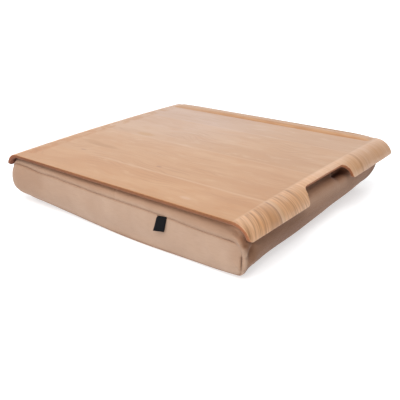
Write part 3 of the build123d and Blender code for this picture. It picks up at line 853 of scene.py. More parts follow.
e0 = snap_end(mid_r[0], rear_loop, 0, "rear")
e1 = snap_end(mid_r[-1], window, 0, "window")
add("mid_r", mid_r[1:-1])
e2 = snap_end(mid_l[0], window, 0, "window")
e3 = snap_end(mid_l[-1], rear_loop, 0, "rear")
add("mid_l", mid_l[1:-1])
join_top = int(groups["border"][len(a_samples) + len(row_s) - 1 + int(np.argmin(np.abs((a_samples[::-1] + step_a) - x_join)))])
a_join = border[join_top][0]
join_low = snap_end((a_join, front_top(a_join)), front_loop, 0, "front")
p_low = front_loop[join_low - groups["front"][0]]
join = np.array([(p_low[0] + f * (a_join - p_low[0]), p_low[1] + f * (H - p_low[1])) for f in np.linspace(0, 1, 10)[1:-1]])
add("join", join)
lines = [
    [e0, *groups["mid_r"], e1],
    [e2, *groups["mid_l"], e3],
    [join_low, *groups["join"], join_top],
]
seam_pts = np.concatenate(points)
extra = []
for l in (front_loop, rear_loop):
    for by in (1.5, -1.5, 3.4, -3.4):
        extra.append(offset(l, by))
for by in (1.3, -1.3):
    extra.append(offset(window, by))
for s_ in (1.5, -1.5, 3.2, -3.2):
    extra.append(join + np.array([s_, 0.0]))
near_a, near_s = [v.ravel() for v in np.meshgrid(np.arange(A_FR0 - 9, A_FR1 + 16, 1.7), np.arange(float(S_of(A_FR0, 12)[0]), float(S_of(A_FR0, 66)[0]), 1.7))]
extra.append(np.column_stack([near_a, near_s]))
extra = np.concatenate(extra)


def clear_of_lines(px, py, gap, skip_border=False):
    ok_ = np.ones(len(px), bool)
    if not skip_border:
        ok_ &= (py > 1.6) & (py < H - 1.6) & (px > 1.6) & (px < PERIM - 1.6)
    for l in (front_loop, rear_loop, window):
        ok_ &= far_from(px, py, l, gap)
    for l in lines:
        ok_ &= far_from(px, py, seam_pts[l], gap, closed=False)
    return ok_


extra = extra[clear_of_lines(extra[:, 0], extra[:, 1], 1.1)]
kept = []
cells = {}
for p in extra:
    c = (int(p[0] // 1.2), int(p[1] // 1.2))
    if any(np.hypot(*(p - q)) < 1.15 for i in (-1, 0, 1) for j in (-1, 0, 1) for q in cells.get((c[0] + i, c[1] + j), ())):
        continue
    cells.setdefault(c, []).append(p)
    kept.append(p)
extra = np.array(kept)
ga, gsS = [v.ravel() for v in np.meshgrid(np.arange(step_a, PERIM - 1, step_a), row_s[1:-1])]
ok = clear_of_lines(ga, gsS, 2.4)
ga, gsS = ga[ok], gsS[ok]
grid_keep = []
for p in np.column_stack([ga, gsS]):
    c = (int(p[0] // 1.2), int(p[1] // 1.2))
    if any(np.hypot(*(p - q)) < 2.0 for i in (-2, -1, 0, 1, 2) for j in (-2, -1, 0, 1, 2) for q in cells.get((c[0] + i, c[1] + j), ())):
        continue
    grid_keep.append(p)
all_pts = np.concatenate([seam_pts, extra, np.array(grid_keep)])
w_uv, w_tri, w_first = cdt(all_pts, [groups["border"], groups["front"], groups["rear"], groups["window"]], lines)

where = {int(o): i for i, o in enumerate(w_first) if o >= 0}
side3 = side_point(w_uv[:, 0], w_uv[:, 1])

# join both ends of the unrolled side, then close it with a top and a bottom
n_side = len(side3)
remap = np.arange(n_side)
left = {round(float(w_uv[i, 1]), 3): i for i in range(n_side) if w_uv[i, 0] < 1e-4}
for i in range(n_side):
    if w_uv[i, 0] > PERIM - 1e-4:
        remap[i] = left[round(float(w_uv[i, 1]), 3)]
bottom_ids = [i for i in np.argsort(w_uv[:, 0]) if w_uv[i, 1] < 1e-6 and w_uv[i, 0] < PERIM - 1e-4]
top_ids = [i for i in np.argsort(w_uv[:, 0]) if w_uv[i, 1] > H - 1e-6 and w_uv[i, 0] < PERIM - 1e-4]


def cap(ids, z, seam_in=None, spacing=9.0):
    ring = side3[ids][:, :2]
    loops_, pts_ = [np.arange(len(ring))], [ring]
    if seam_in:
        c = offset(ring, -seam_in)
        c = (c + np.roll(c, 1, 0) + np.roll(c, -1, 0)) / 3
        pts_.append(c)
        loops_.append(np.arange(len(ring), 2 * len(ring)))
        for by in (1.5, -1.5):
            pts_.append(offset(c, by))
    flat = np.concatenate(pts_)
    x, y = [v.ravel() for v in np.meshgrid(np.arange(-220, 221, spacing), np.arange(-190, 191, spacing))]
    ok_ = inside(x, y, ring) & far_from(x, y, ring, 3.0)
    if seam_in:
        ok_ &= far_from(x, y, pts_[1], 3.2)
    pts_.append(np.column_stack([x[ok_], y[ok_]]))
    uv, tri, first = cdt(np.concatenate(pts_), loops_)
    return uv, tri, first, len(ring)


verts = [side3]
faces = [tuple(remap[list(f)]) for f in w_tri]
uv_list = [w_uv]
top_uv, top_tri, top_first, _ = cap(top_ids, CT)
bot_uv, bot_tri, bot_first, n_bot = cap(bottom_ids, 0.0, seam_in=5.5)
base = n_side


def attach(uv, tri, first, ids, z, flip):
    global base
    m = np.zeros(len(uv), int)
    new = []
    for i, o in enumerate(first):
        if 0 <= o < len(ids):
            m[i] = ids[o]
        else:
            m[i] = base + len(new)
            new.append((uv[i, 0], uv[i, 1], z))
    verts.append(np.array(new))
    uv_list.append(np.full((len(new), 2), -999.0))
    base += len(new)
    fs = [tuple(m[list(f)]) for f in tri]
    return [f[::-1] for f in fs] if flip else fs, m


top_faces, _ = attach(top_uv, top_tri, top_first, top_ids, CT, False)
bot_faces, bot_map = attach(bot_uv, bot_tri, bot_first, bottom_ids, 0.0, True)
V = np.concatenate(verts)
ring_a = np.concatenate(uv_list)[:, 0]
F = [tuple(int(i) for i in f) for f in faces] + [tuple(int(i) for i in f) for f in top_faces + bot_faces]
F = [f for f in F if len(set(f)) == 3]
used = np.unique(np.array(F))
new_id = -np.ones(len(V), int)
new_id[used] = np.arange(len(used))
V, ring_a = V[used], ring_a[used]
FA = new_id[np.array(F)]


def seam_edges(ids, closed=True):
    m = [int(new_id[remap[where[int(i)]]]) for i in ids]
    pairs = list(zip(m, m[1:] + m[:1])) if closed else list(zip(m[:-1], m[1:]))
    return {tuple(sorted(p)) for p in pairs}


SE = {
    "front": seam_edges(groups["front"]),
    "rear": seam_edges(groups["rear"]),
    "window": seam_edges(groups["window"]),
    "mid_r": seam_edges(lines[0], False),
    "mid_l": seam_edges(lines[1], False),
    "join": seam_edges(lines[2], False),
}
bw = {int(o): i for i, o in enumerate(bot_first) if o >= 0}
bs = [int(new_id[bot_map[bw[i]]]) for i in range(n_bot, 2 * n_bot)]
SE["bottom"] = {tuple(sorted(p)) for p in zip(bs, bs[1:] + bs[:1])}

# which panel each triangle belongs to: regions bounded by seams
cut = set().union(*[SE[k] for k in ("front", "rear", "window", "mid_r", "mid_l", "bottom")])
edge_faces = {}
for fi, f in enumerate(FA):
    for a, b in ((f[0], f[1]), (f[1], f[2]), (f[2], f[0])):
        edge_faces.setdefault((min(a, b), max(a, b)), []).append(fi)
region = -np.ones(len(FA), int)
cent = V[FA].mean(1)
nreg = 0
for f0 in range(len(FA)):
    if region[f0] >= 0:
        continue
    stack = [f0]
    region[f0] = nreg
    while stack:
        f = stack.pop()
        a, b, c = FA[f]
        for e in ((a, b), (b, c), (c, a)):
            e = (min(e), max(e))
            if e in cut:
                continue
            for g in edge_faces[e]:
                if region[g] < 0:
                    region[g] = nreg
                    stack.append(g)
    nreg += 1


def region_at(x, y, z):
    return int(region[np.argmin(((cent - np.array((x, y, z))) ** 2).sum(1))])


REG = {
    "wrap": region_at(0, 0, CT),
    "front": region_at(40, CF, 30),
    "rear_up": region_at(0, CR, 47),
    "rear_low": region_at(0, CR, 20),
    "window": region_at(0, CR, 34),
    "bottom": region_at(0, 0, 0),
}
print("cushion", len(V), "verts", len(FA), "tris", nreg, "regions", REG, [int((region == r).sum()) for r in range(nreg)])


# --- how the filled cover swells --------------------------------------------
def smooth01(x, a, b):
    t = np.clip((x - a) / (b - a), 0, 1)
    return t * t * (3 - 2 * t)


def swell(V0, FA, seam_v):
    """Cloth with inner pressure; returns the moved points."""
    me = bpy.data.meshes.new("cushion_sim")
    me.from_pydata([tuple(v) for v in V0 * MM], [], [tuple(int(i) for i in f) for f in FA])
    me.update()
    ob = bpy.data.objects.new("cushion_sim", me)
    scene.collection.objects.link(ob)
    pin = ob.vertex_groups.new(name="pin")
    held = (V0[:, 2] < 0.6) | (V0[:, 2] > CT - 2.2) | ((V0[:, 1] > CR - 1.2) & (np.abs(V0[:, 0]) < 200) & (np.abs(V0[:, 2] - 34) < 20))
    pin.add([int(i) for i in np.flatnonzero(held)], 1.0, "REPLACE")
    tight = ob.vertex_groups.new(name="seam")
    tight.add([int(i) for i in seam_v], 1.0, "REPLACE")
    mod = ob.modifiers.new("cloth", "CLOTH")
    st = mod.settings
    st.quality = 5
    st.mass = 0.25
    st.tension_stiffness = 14
    st.compression_stiffness = 14
    st.shear_stiffness = 6
    st.bending_stiffness = 1.5
    st.use_pressure = True
    st.uniform_pressure_force = 4.0
    st.effector_weights.gravity = 0
    st.vertex_group_mass = "pin"
    st.pin_stiffness = 1.0
    st.vertex_group_shrink = "seam"
    st.shrink_min = 0.0
    st.shrink_max = 0.05
    mod.collision_settings.use_collision = False
    mod.point_cache.frame_start, mod.point_cache.frame_end = 1, 20
    scene.frame_start, scene.frame_end = 1, 20
    for f in range(1, 21):
        scene.frame_set(f)
    dg = bpy.context.evaluated_depsgraph_get()
    ev = ob.evaluated_get(dg).to_mesh()
    co = np.zeros(len(V0) * 3, np.float32)
    ev.vertices.foreach_get("co", co)
    ob.evaluated_get(dg).to_mesh_clear()
    scene.frame_set(1)
    bpy.data.objects.remove(ob)
    bpy.data.meshes.remove(me)
    return co.reshape(-1, 3).astype(float) / MM


def vertex_normals(P):
    n = np.zeros_like(P)
    fn = np.cross(P[FA[:, 1]] - P[FA[:, 0]], P[FA[:, 2]] - P[FA[:, 0]])
    for k in range(3):
        np.add.at(n, FA[:, k], fn)
    return n / np.maximum(np.linalg.norm(n, axis=1, keepdims=True), 1e-12)


seam_v = sorted({v for k in ("front", "rear", "bottom", "join") for e in SE[k] for v in e})
W = V.copy()
moved = swell(V, FA, seam_v) - V
ea, eb = np.array(sorted({(min(a_, b_), max(a_, b_)) for f_ in FA.tolist() for a_, b_ in ((f_[0], f_[1]), (f_[1], f_[2]), (f_[2], f_[0]))})).T
deg = np.bincount(np.concatenate([ea, eb]), minlength=len(V))[:, None]
for _ in range(6):
    acc = np.zeros_like(moved)
    np.add.at(acc, ea, moved[eb])
    np.add.at(acc, eb, moved[ea])
    moved = 0.45 * moved + 0.55 * acc / np.maximum(deg, 1)
size = np.linalg.norm(moved, axis=1)
cap_mm = 6.0
moved *= (cap_mm * np.tanh(size / cap_mm) / np.maximum(size, 1e-9))[:, None]
share = smooth01(V[:, 2], 0.0, 9.0) * smooth01(V[:, 2], CT - 0.5, CT - 12)
share *= 1 - smooth01(V[:, 1], CR - 6, CR - 1) * smooth01(np.abs(V[:, 0]), 206, 196)
W = V + moved * share[:, None]
print("cloth moved by up to", round(float(np.linalg.norm(moved * share[:, None], axis=1).max()), 2), "mm, mean", round(float(size.mean()), 2))

# slow unevenness of the loose filling
rng = np.random.default_rng(7)
waves = rng.normal(size=(14, 3)) * np.array([1, 1, 1.4]) / 34.0
phase = rng.uniform(0, 2 * math.pi, 14)
lump = np.sin(W @ waves.T + phase).mean(1) * 1.5
N = vertex_normals(W)
calm = smooth01(V[:, 2], 0.5, 8.0) * smooth01(V[:, 2], CT, CT - 8) * (1 - smooth01(V[:, 1], CR - 6, CR - 1))
W = W + N * (lump * calm)[:, None]

# seams: the two edges turn in, and the cloth beside them stands proud
near = {}


def seam_distance(edges, upto=9.0):
    """Distance over the surface from a seam, by walking mesh edges."""
    import heapq

    nb = near.get("nb")
    if nb is None:
        nb = [[] for _ in range(len(V))]
        for a, b in edge_faces:
            w_ = float(np.linalg.norm(V[a] - V[b]))
            nb[a].append((b, w_))
            nb[b].append((a, w_))
        near["nb"] = nb
    dist = np.full(len(V), 1e9)
    heap = []
    for e in edges:
        for v in e:
            if dist[v] > 0:
                dist[v] = 0.0
                heap.append((0.0, int(v)))
    heapq.heapify(heap)
    while heap:
        d0, v = heapq.heappop(heap)
        if d0 > dist[v] or d0 > upto:
            continue
        for w_, l in nb[v]:
            d1 = d0 + l
            if d1 < dist[w_]:
                dist[w_] = d1
                heapq.heappush(heap, (d1, w_))
    return dist


N = vertex_normals(W)
push = np.zeros(len(W))
for k, deep, proud in (("front", 0.50, 0.25), ("rear", 1.0, 0.3), ("bottom", 1.0, 0.0), ("join", 0.5, 0.2)):
    d = seam_distance(SE[k])
    if k == "front":
        # gathered into a crease before the right corner, smooth where it turns down
        deep = deep * (1 + 1.3 * np.exp(-((V[:, 0] - 198) / 11) ** 2) * smooth01(V[:, 2], 42, 46))
        fading = 1 - smooth01(V[:, 0], 203, 210) * smooth01(V[:, 2], 31, 36)
        deep, proud = deep * fading, proud * fading
        push += -deep * np.exp(-(d / 2.1) ** 2) + proud * np.exp(-((d - 4.2) / 2.0) ** 2)
    else:
        push += -deep * np.exp(-(d / 1.5) ** 2) + proud * np.exp(-((d - 3.6) / 1.8) ** 2)
for k in ("window", "mid_r", "mid_l"):
    d = seam_distance(SE[k])
    push += -0.9 * np.exp(-(d / 1.0) ** 2)
# tuck beside the near right corner, and a pinched fold on the side below the tray's tip
d = seam_distance(SE["front"])
tuck = np.exp(-(d / 1.5) ** 2) * smooth01(V[:, 2], 11, 17) * smooth01(V[:, 2], 35, 29) * smooth01(V[:, 0], 205, 211) * (V[:, 1] < -150)
push -= 0.95 * tuck


def to_line(P, pts_):
    best = np.full(len(P), 1e9)
    for a_, b_ in zip(pts_[:-1], pts_[1:]):
        a_, b_ = np.array(a_), np.array(b_)
        t_ = np.clip(((P - a_) @ (b_ - a_)) / ((b_ - a_) @ (b_ - a_)), 0, 1)
        best = np.minimum(best, np.linalg.norm(P - a_ - t_[:, None] * (b_ - a_), axis=1))
    return best


# the corner: a proud ridge where the front turns up and over, a recess between it and the board,
# and a pinched fold with a dimple behind it
recess = to_line(W, [(184, -184.0, 67.0), (192, -184.0, 65.0), (199.0, -183.0, 63.0), (205.0, -182.5, 60.0), (210.5, -183.0, 56.5), (213.0, -182.5, 52.5), (214.8, -182.0, 47.0)])
recess_in = np.interp(W[:, 0], [180, 196, 208, 214], [0.0, 0.5, 0.6, 1.1]) * smooth01(W[:, 2], 38, 44)
push -= 2.3 * np.exp(-(recess / 3.4) ** 2) * recess_in
ridge = to_line(W, [(188, -185.5, 56.4), (199.0, -184.5, 55.4), (207.0, -185.0, 53.0), (211.8, -185.0, 48.8), (214.0, -184.0, 42.0), (215.2, -183.0, 34.0), (215.8, -182.8, 27.0), (215.4, -182.4, 19.0)])
ridge_in = np.interp(W[:, 0], [182, 200, 208], [0.0, 0.6, 1.0]) * smooth01(W[:, 2], 14, 22)
push += 1.1 * np.exp(-(ridge / 2.0) ** 2) * ridge_in
fold = to_line(W, [(217.3, -180.0, 50.0), (216.4, -178.2, 44.0), (215.8, -178.0, 39.0), (216.3, -181.0, 34.0)])
push += 1.4 * np.exp(-(fold / 1.3) ** 2)
dimple = to_line(W, [(217.2, -171.5, 49.0), (216.5, -171.5, 42.0), (216.3, -173.0, 36.0), (216.3, -174.5, 30.0)])
push -= 2.0 * np.exp(-(dimple / 2.7) ** 2) * smooth01(W[:, 2], 26, 36)
# the fingers' place behind each handle notch: the cover is pushed in there, deepest at the rear end
AW = np.stack([np.abs(W[:, 0]), W[:, 1], W[:, 2]], 1)
finger = to_line(AW, [(211.5, 44.0, 64.5), (212.0, 64.0, 66.0)])
push -= 9.0 * np.exp(-(finger / 9.5) ** 2)
finger2 = to_line(AW, [(211.0, -42.0, 63.5), (211.0, 56.0, 64.5)])
push -= 3.2 * np.exp(-(finger2 / 5.5) ** 2)
push[V[:, 2] < 0.3] = np.minimum(push[V[:, 2] < 0.3], 0.0)
push = np.where(V[:, 2] < 0.3, -push * 0 + np.where(push < -0.2, push, 0.0), push)
W = W + N * push[:, None]
W[:, 2] = np.maximum(W[:, 2], 0.0)

# the cover stays under the board and inside its rolled ends
rx = np.abs(W[:, 0]) - ROLL_X
cz = TOP + crown(W[:, 1]) - R
rr = np.hypot(rx, W[:, 2] - cz)
lim = R - BOARD_T - 1.3
over = (rx > 0) & (W[:, 2] > cz) & (rr > lim) & (np.abs(W[:, 1]) < 190)
k = np.where(over, lim / np.maximum(rr, 1e-9), 1.0)
W[:, 0] = np.where(over, np.sign(W[:, 0]) * (ROLL_X + rx * k), W[:, 0])
W[:, 2] = np.where(over, cz + (W[:, 2] - cz) * k, W[:, 2])
W[:, 2] = np.minimum(W[:, 2], CT)


# --- cloth materials ----------------------------------------------------------
def canvas_material(name, light, dark, thread=0.00085, sheen=0.25):
    m, t, bsdf = material(name, rough=0.85, spec=0.22, sheen=sheen)
    tc = t.add("ShaderNodeTexCoord")
    sep = t.add("ShaderNodeSeparateXYZ")
    t.t.links.new(tc.outputs["Object"], sep.inputs[0])
    x, y, z = sep.outputs
    across = t.math("ADD", x, y)
    w1 = t.math("SINE", t.math("MULTIPLY", across, 2 * math.pi / thread))
    w2 = t.math("SINE", t.math("MULTIPLY", t.math("ADD", z, t.math("MULTIPLY", t.math("SUBTRACT", x, y), 0.35)), 2 * math.pi / thread))
    weave = t.math("ADD", t.math("MULTIPLY", w1, w2), t.math("MULTIPLY", t.math("ADD", w1, w2), 0.25))
    slub = t.noise(t.vec(t.math("MULTIPLY", x, 90.0), t.math("MULTIPLY", y, 90.0), t.math("MULTIPLY", z, 700.0)), 1.0, 2.0, 0.6)
    mott = t.noise(tc.outputs["Object"], 22.0, 3.0, 0.55)
    base = t.mix(t.step(mott, 0.3, 0.7), light, dark)
    base = t.mix(t.step(slub, 0.4, 0.75, 0.0, 0.22), base, tuple(c * 0.8 for c in dark))
    base = t.mix(t.step(weave, -1.0, 1.0, 0.14, 0.0), base, tuple(c * 0.6 for c in dark))
    # painted shade: an attribute darkens the cloth on the cushion's ends, in folds, seams, recesses and under the
    # board, as if in shadow
    shade_amount = t.add("ShaderNodeAttribute", attribute_name="painted_shade").outputs["Fac"]
    deep = t.add("ShaderNodeGamma")
    deep.inputs["Color"].default_value = (0.72, 0.62, 0.54, 1.0)
    t.put(deep.inputs["Gamma"], shade_amount)
    base = t.mix(1.0, base, deep.outputs[0], "MULTIPLY")
    # painted bounce light: the wood's warm colour on the cloth just under the board's edge, as if reflected from the
    # wood
    bounce_amount = t.add("ShaderNodeAttribute", attribute_name="painted_wood_bounce").outputs["Fac"]
    warm = t.add("ShaderNodeGamma")
    warm.inputs["Color"].default_value = (0.97, 0.84, 0.74, 1.0)
    t.put(warm.inputs["Gamma"], bounce_amount)
    base = t.mix(1.0, base, warm.outputs[0], "MULTIPLY")
    t.t.links.new(base, bsdf.inputs["Base Color"])
    bump(t, bsdf, t.math("ADD", t.math("MULTIPLY", weave, 0.5), slub), 0.35, 0.00022)
    return m


mat_canvas = canvas_material("cover_canvas", (0.484, 0.325, 0.232), (0.446, 0.290, 0.203), sheen=0.15)
mat_bag = canvas_material("bag_cotton", (0.70, 0.68, 0.63), (0.64, 0.62, 0.57), thread=0.0006, sheen=0.1)


# painted shade on the cloth, starting with how far a point lies on one of the two ends of the cushion
side_of = np.where(ring_a < 0, -1e3, ring_a)
painted_shade = smooth01(side_of, A_FR0 + 9, A_FR1 + 3) * smooth01(side_of, A_RR1 - 4, A_RR0 + 12)
painted_shade = np.maximum(painted_shade, smooth01(side_of, A_RL0 + 12, A_RL1))
painted_shade = np.maximum(painted_shade, (side_of >= 0) * smooth01(side_of, A_FL1 - 9, A_FL0 - 3))
painted_shade *= smooth01(V[:, 2], CT, CT - 6)
# painted shade on the right end, deepest towards its front corner
on_right = smooth01(side_of, A_FR0 + 4, A_FR1 + 1) * smooth01(side_of, A_RR1, A_RR0)
painted_shade += 0.95 * on_right * (np.interp(V[:, 1], [-185, -150, -110, -60, 0, 60, 180], [0.55, 0.9, 0.85, 0.45, 0.15, 0.2, 0.35]) + np.interp(V[:, 1], [-185, -140, -100, -60, 180], [-0.35, -0.1, 0.35, 0.45, 0.2]) * smooth01(V[:, 2], 46, 28))
on_front = (side_of >= 0) * smooth01(side_of, A_FL0 - 6, A_FL1) * smooth01(side_of, A_FR0 + 8, A_FR0)
above_seam = smooth01(V[:, 2], seam_height(V[:, 0]) - 0.5, seam_height(V[:, 0]) + 1.0)
up = np.clip((V[:, 2] - seam_height(V[:, 0])) / (CT - seam_height(V[:, 0])), 0, 1)
from_left = np.interp(V[:, 0], [-219, -150, -100], [0.1, 0.4, 1.0])
# painted bounce light: the cloth just under the board's front edge is made warmer, as if lit by light reflected from
# the wood
painted_wood_bounce = on_front * from_left * (1.1 * up ** 1.5 + 0.1 * above_seam)
# painted shade along the front: on the low rim, under the board's edge, varying from left to right, in the front seam
# and in the tuck
low_rim = smooth01(V[:, 2], 9, 0.5) * 0.5
painted_shade += on_front * (from_left * (0.12 * above_seam + 0.35 * up) + low_rim - 0.25 * (1 - from_left) * above_seam + np.interp(V[:, 0], [-219, -170, -60, 60, 190, 215], [0.55, 0.42, 0.02, -0.16, -0.05, 0.25]))
painted_shade += 0.8 * np.exp(-(seam_distance(SE["front"]) / 1.7) ** 2) * on_front * fading + 0.6 * tuck
# painted shade in the corner recess, lessened on the lit ridge and fold, deeper in the dimple and in the pocket behind
# each handle notch
painted_shade += np.interp(W[:, 0], [200, 209, 212.5], [0.0, 0.1, 2.8]) * np.exp(-(recess / 3.2) ** 2) * recess_in
painted_shade -= 0.35 * np.exp(-(ridge / 1.8) ** 2) * ridge_in + 0.6 * np.exp(-(fold / 1.2) ** 2)
painted_shade += 1.1 * np.exp(-(dimple / 3.0) ** 2) * smooth01(W[:, 2], 30, 42)
painted_shade += 3.6 * np.exp(-(finger / 8.0) ** 2) + np.interp(W[:, 1], [-42, 0, 25], [1.4, 1.4, 2.4]) * np.exp(-(finger2 / 6.5) ** 2)
# less painted shade high on the right side, more of it towards its rear
painted_shade -= on_right * smooth01(V[:, 2], 40, 52) * np.interp(V[:, 1], [-125, -100, -55, -20, 60, 90], [0.0, 0.50, 0.85, 0.50, 0.55, 0.0])
painted_shade += 0.25 * on_right + 0.75 * on_right * smooth01(V[:, 1], 120, 165)
painted_shade = np.maximum(painted_shade, 0.0)
# painted bounce light from the wood in the corner recess
painted_wood_bounce += np.interp(W[:, 0], [190, 204, 214], [0.0, 0.4, 0.5]) * np.exp(-(recess / 4.0) ** 2) * recess_in


def panel(name, regs, replaces):
    sel = np.isin(region, [REG[r] for r in regs])
    f = FA[sel]
    ids = np.unique(f)
    m = -np.ones(len(W), int)
    m[ids] = np.arange(len(ids))
    ob = piece(name, W[ids], m[f], mat_canvas, "cushion", replaces)
    at = ob.data.attributes.new("painted_shade", "FLOAT", "POINT")
    at.data.foreach_set("value", painted_shade[ids].astype(np.float32))
    at = ob.data.attributes.new("painted_wood_bounce", "FLOAT", "POINT")
    at.data.foreach_set("value", painted_wood_bounce[ids].astype(np.float32))
    so = ob.modifiers.new("thickness", "SOLIDIFY")
    so.thickness = 0.0008
    so.offset = -1.0
    so.use_even_offset = False
    return ob


panel("cover_band", ["wrap"], ["cover_wrap_band"])
front_ob = panel("cover_front", ["front"], ["cover_front_panel"])
panel("cover_rear_upper", ["rear_up"], ["cover_rear_panel_upper"])
panel("cover_rear_lower", ["rear_low"], ["cover_rear_panel_lower"])
panel("cover_base", ["bottom"], ["cover_bottom_panel"])
B = W - vertex_normals(W) * 1.6
hollow = smooth01(V[:, 1], CR - 8, CR - 2) * smooth01(np.abs(V[:, 2] - 34), 19, 14) * smooth01(np.abs(V[:, 0]), 200, 194)
B[:, 1] -= 3.4 * hollow
B[:, 2] = np.maximum(B[:, 2], 1.2)
bag = piece("filled_inner_bag", B, FA, mat_bag, "cushion", ["inner_bag", "bead_filling"])


# ---------------------------------------------------------------------------
# Folded ribbon tag in the front seam
# ---------------------------------------------------------------------------
def tag():
    tree = BVHTree.FromPolygons([Vector(v) for v in W], [tuple(int(i) for i in f) for f in FA])
    top_x, top_z, width, drop = 93.6, 51.6, 15.6, 17.6
    down = np.array([-0.105, 0, -0.9945])
    side = np.array([0.9962, 0, 0.087])
    th, gap = 0.42, 0.5
    n_d, n_w = 16, 7
    path = []
    for i in range(n_d + 1):
        path.append((drop * i / n_d, 0))
    loop_n = 6
    total = []

    def place(v, w_, lift):
        p = np.array([top_x, 0, top_z]) + down * v + side * w_
        hit = tree.ray_cast(Vector((p[0], -260.0, p[2])), Vector((0, 1, 0)))[0]
        ys = hit.y if hit is not None else CF
        proud = 0.2 + (3.4 - 0.17 * w_) * (v / drop) ** 1.3
        return np.array([p[0], min(ys, CF + 1.0) - proud - lift, p[2]])

    # centre line of the folded ribbon in (v, lift): down the front, round the fold, up the back
    line = [(v, gap + th) for v in np.linspace(-1.2, drop - 0.6, n_d)]
    rad = (gap + th) / 2
    for a in np.linspace(0, math.pi, loop_n + 2)[1:-1]:
        line.append((drop - 0.6 + rad * 1.25 * math.sin(a), rad + rad * math.cos(a)))
    line += [(v, 0.0) for v in np.linspace(drop - 0.6, -1.2, n_d)]
    line = np.array(line)
    tang = np.gradient(line, axis=0)
    tang /= np.linalg.norm(tang, axis=1, keepdims=True)
    nrm = np.stack([-tang[:, 1], tang[:, 0]], 1)
    vs, fs = [], []
    ws = np.linspace(-width / 2, width / 2, n_w)
    for layer in (1, -1):
        for (v, l), (nv, nl) in zip(line, nrm):
            for j, w_ in enumerate(ws):
                e = 0.5 if j in (0, n_w - 1) else 1.0
                sink = 1.0 if v < 0.3 else 0.0
                p = place(max(min(v, drop), 0.0), w_, l + layer * nl * th / 2 * e)
                p[2] += -(min(v, 0.0)) - (nv * layer * th / 2) - max(v - drop, 0.0)
                p[1] += sink * 1.3
                vs.append(p)
    m = len(line)
    idx = lambda L, i, j: L * m * n_w + i * n_w + j
    for i in range(m - 1):
        for j in range(n_w - 1):
            fs.append((idx(0, i, j), idx(0, i, j + 1), idx(0, i + 1, j + 1), idx(0, i + 1, j)))
            fs.append((idx(1, i, j), idx(1, i + 1, j), idx(1, i + 1, j + 1), idx(1, i, j + 1)))
        fs.append((idx(0, i, 0), idx(0, i + 1, 0), idx(1, i + 1, 0), idx(1, i, 0)))
        fs.append((idx(0, i, n_w - 1), idx(1, i, n_w - 1), idx(1, i + 1, n_w - 1), idx(0, i + 1, n_w - 1)))
    for j in range(n_w - 1):
        fs.append((idx(0, 0, j), idx(1, 0, j), idx(1, 0, j + 1), idx(0, 0, j + 1)))
        fs.append((idx(0, m - 1, j), idx(0, m - 1, j + 1), idx(1, m - 1, j + 1), idx(1, m - 1, j)))
    mt, t, bsdf = material("tag_ribbon", rough=0.8, spec=0.12)
    tc = t.add("ShaderNodeTexCoord")
    sep = t.add("ShaderNodeSeparateXYZ")
    t.t.links.new(tc.outputs["Object"], sep.inputs[0])
    rib = t.math("SINE", t.math("MULTIPLY", t.math("ADD", sep.outputs[2], t.math("MULTIPLY", sep.outputs[0], -0.15)), 2 * math.pi / 0.0007))
    warp = t.math("SINE", t.math("MULTIPLY", sep.outputs[0], 2 * math.pi / 0.0005))
    base = t.mix(t.step(t.math("MULTIPLY", rib, warp), -1.0, 1.0), (0.0035, 0.0035, 0.0045), (0.008, 0.008, 0.0095))
    t.t.links.new(base, bsdf.inputs["Base Color"])
    bump(t, bsdf, rib, 0.25, 0.0002)
    ob = piece("tag", vs, fs, mt, "cushion", ["seam_tag"])
    bm = bmesh.new()
    bm.from_mesh(ob.data)
    bmesh.ops.recalc_face_normals(bm, faces=bm.faces)
    bm.to_mesh(ob.data)
    bm.free()


tag()


# ---------------------------------------------------------------------------
# Hook and loop tapes
# ---------------------------------------------------------------------------
def strip(name, y, z_fn, th, mat, body, node, half=150.0, width=38.0):
    """Flat woven strip with rounded selvedges; z_fn gives its upper face."""
    prof = []
    hw = width / 2
    for u in (-hw, -hw + 0.25, -hw + 0.8, *np.linspace(-hw + 3, hw - 3, 9), hw - 0.8, hw - 0.25, hw):
        e = 1.0 - 0.55 * math.exp(-((hw - abs(u)) / 0.4) ** 2)
        prof.append((u, e))
    xs = np.concatenate([[-half, -half + 0.4], np.linspace(-half + 6, half - 6, 41), [half - 0.4, half]])
    vs, fs = [], []
    for sgn in (1, -1):
        for x in xs:
            ex = 1.0 - 0.5 * math.exp(-((half - abs(x)) / 0.35) ** 2)
            for u, e in prof:
                yy_ = y + u
                mid = float(z_fn(yy_)) - th / 2
                vs.append((x, yy_, mid + sgn * th / 2 * e * ex))
    m, n = len(xs), len(prof)
    idx = lambda L, i, j: L * m * n + i * n + j
    for i in range(m - 1):
        for j in range(n - 1):
            fs.append((idx(0, i, j), idx(0, i + 1, j), idx(0, i + 1, j + 1), idx(0, i, j + 1)))
            fs.append((idx(1, i, j), idx(1, i, j + 1), idx(1, i + 1, j + 1), idx(1, i + 1, j)))
        fs.append((idx(0, i, 0), idx(1, i, 0), idx(1, i + 1, 0), idx(0, i + 1, 0)))
        fs.append((idx(0, i, n - 1), idx(0, i + 1, n - 1), idx(1, i + 1, n - 1), idx(1, i, n - 1)))
    for j in range(n - 1):
        fs.append((idx(0, 0, j), idx(0, 0, j + 1), idx(1, 0, j + 1), idx(1, 0, j)))
        fs.append((idx(0, m - 1, j), idx(1, m - 1, j), idx(1, m - 1, j + 1), idx(0, m - 1, j + 1)))
    return piece(name, vs, fs, mat, body, [node])


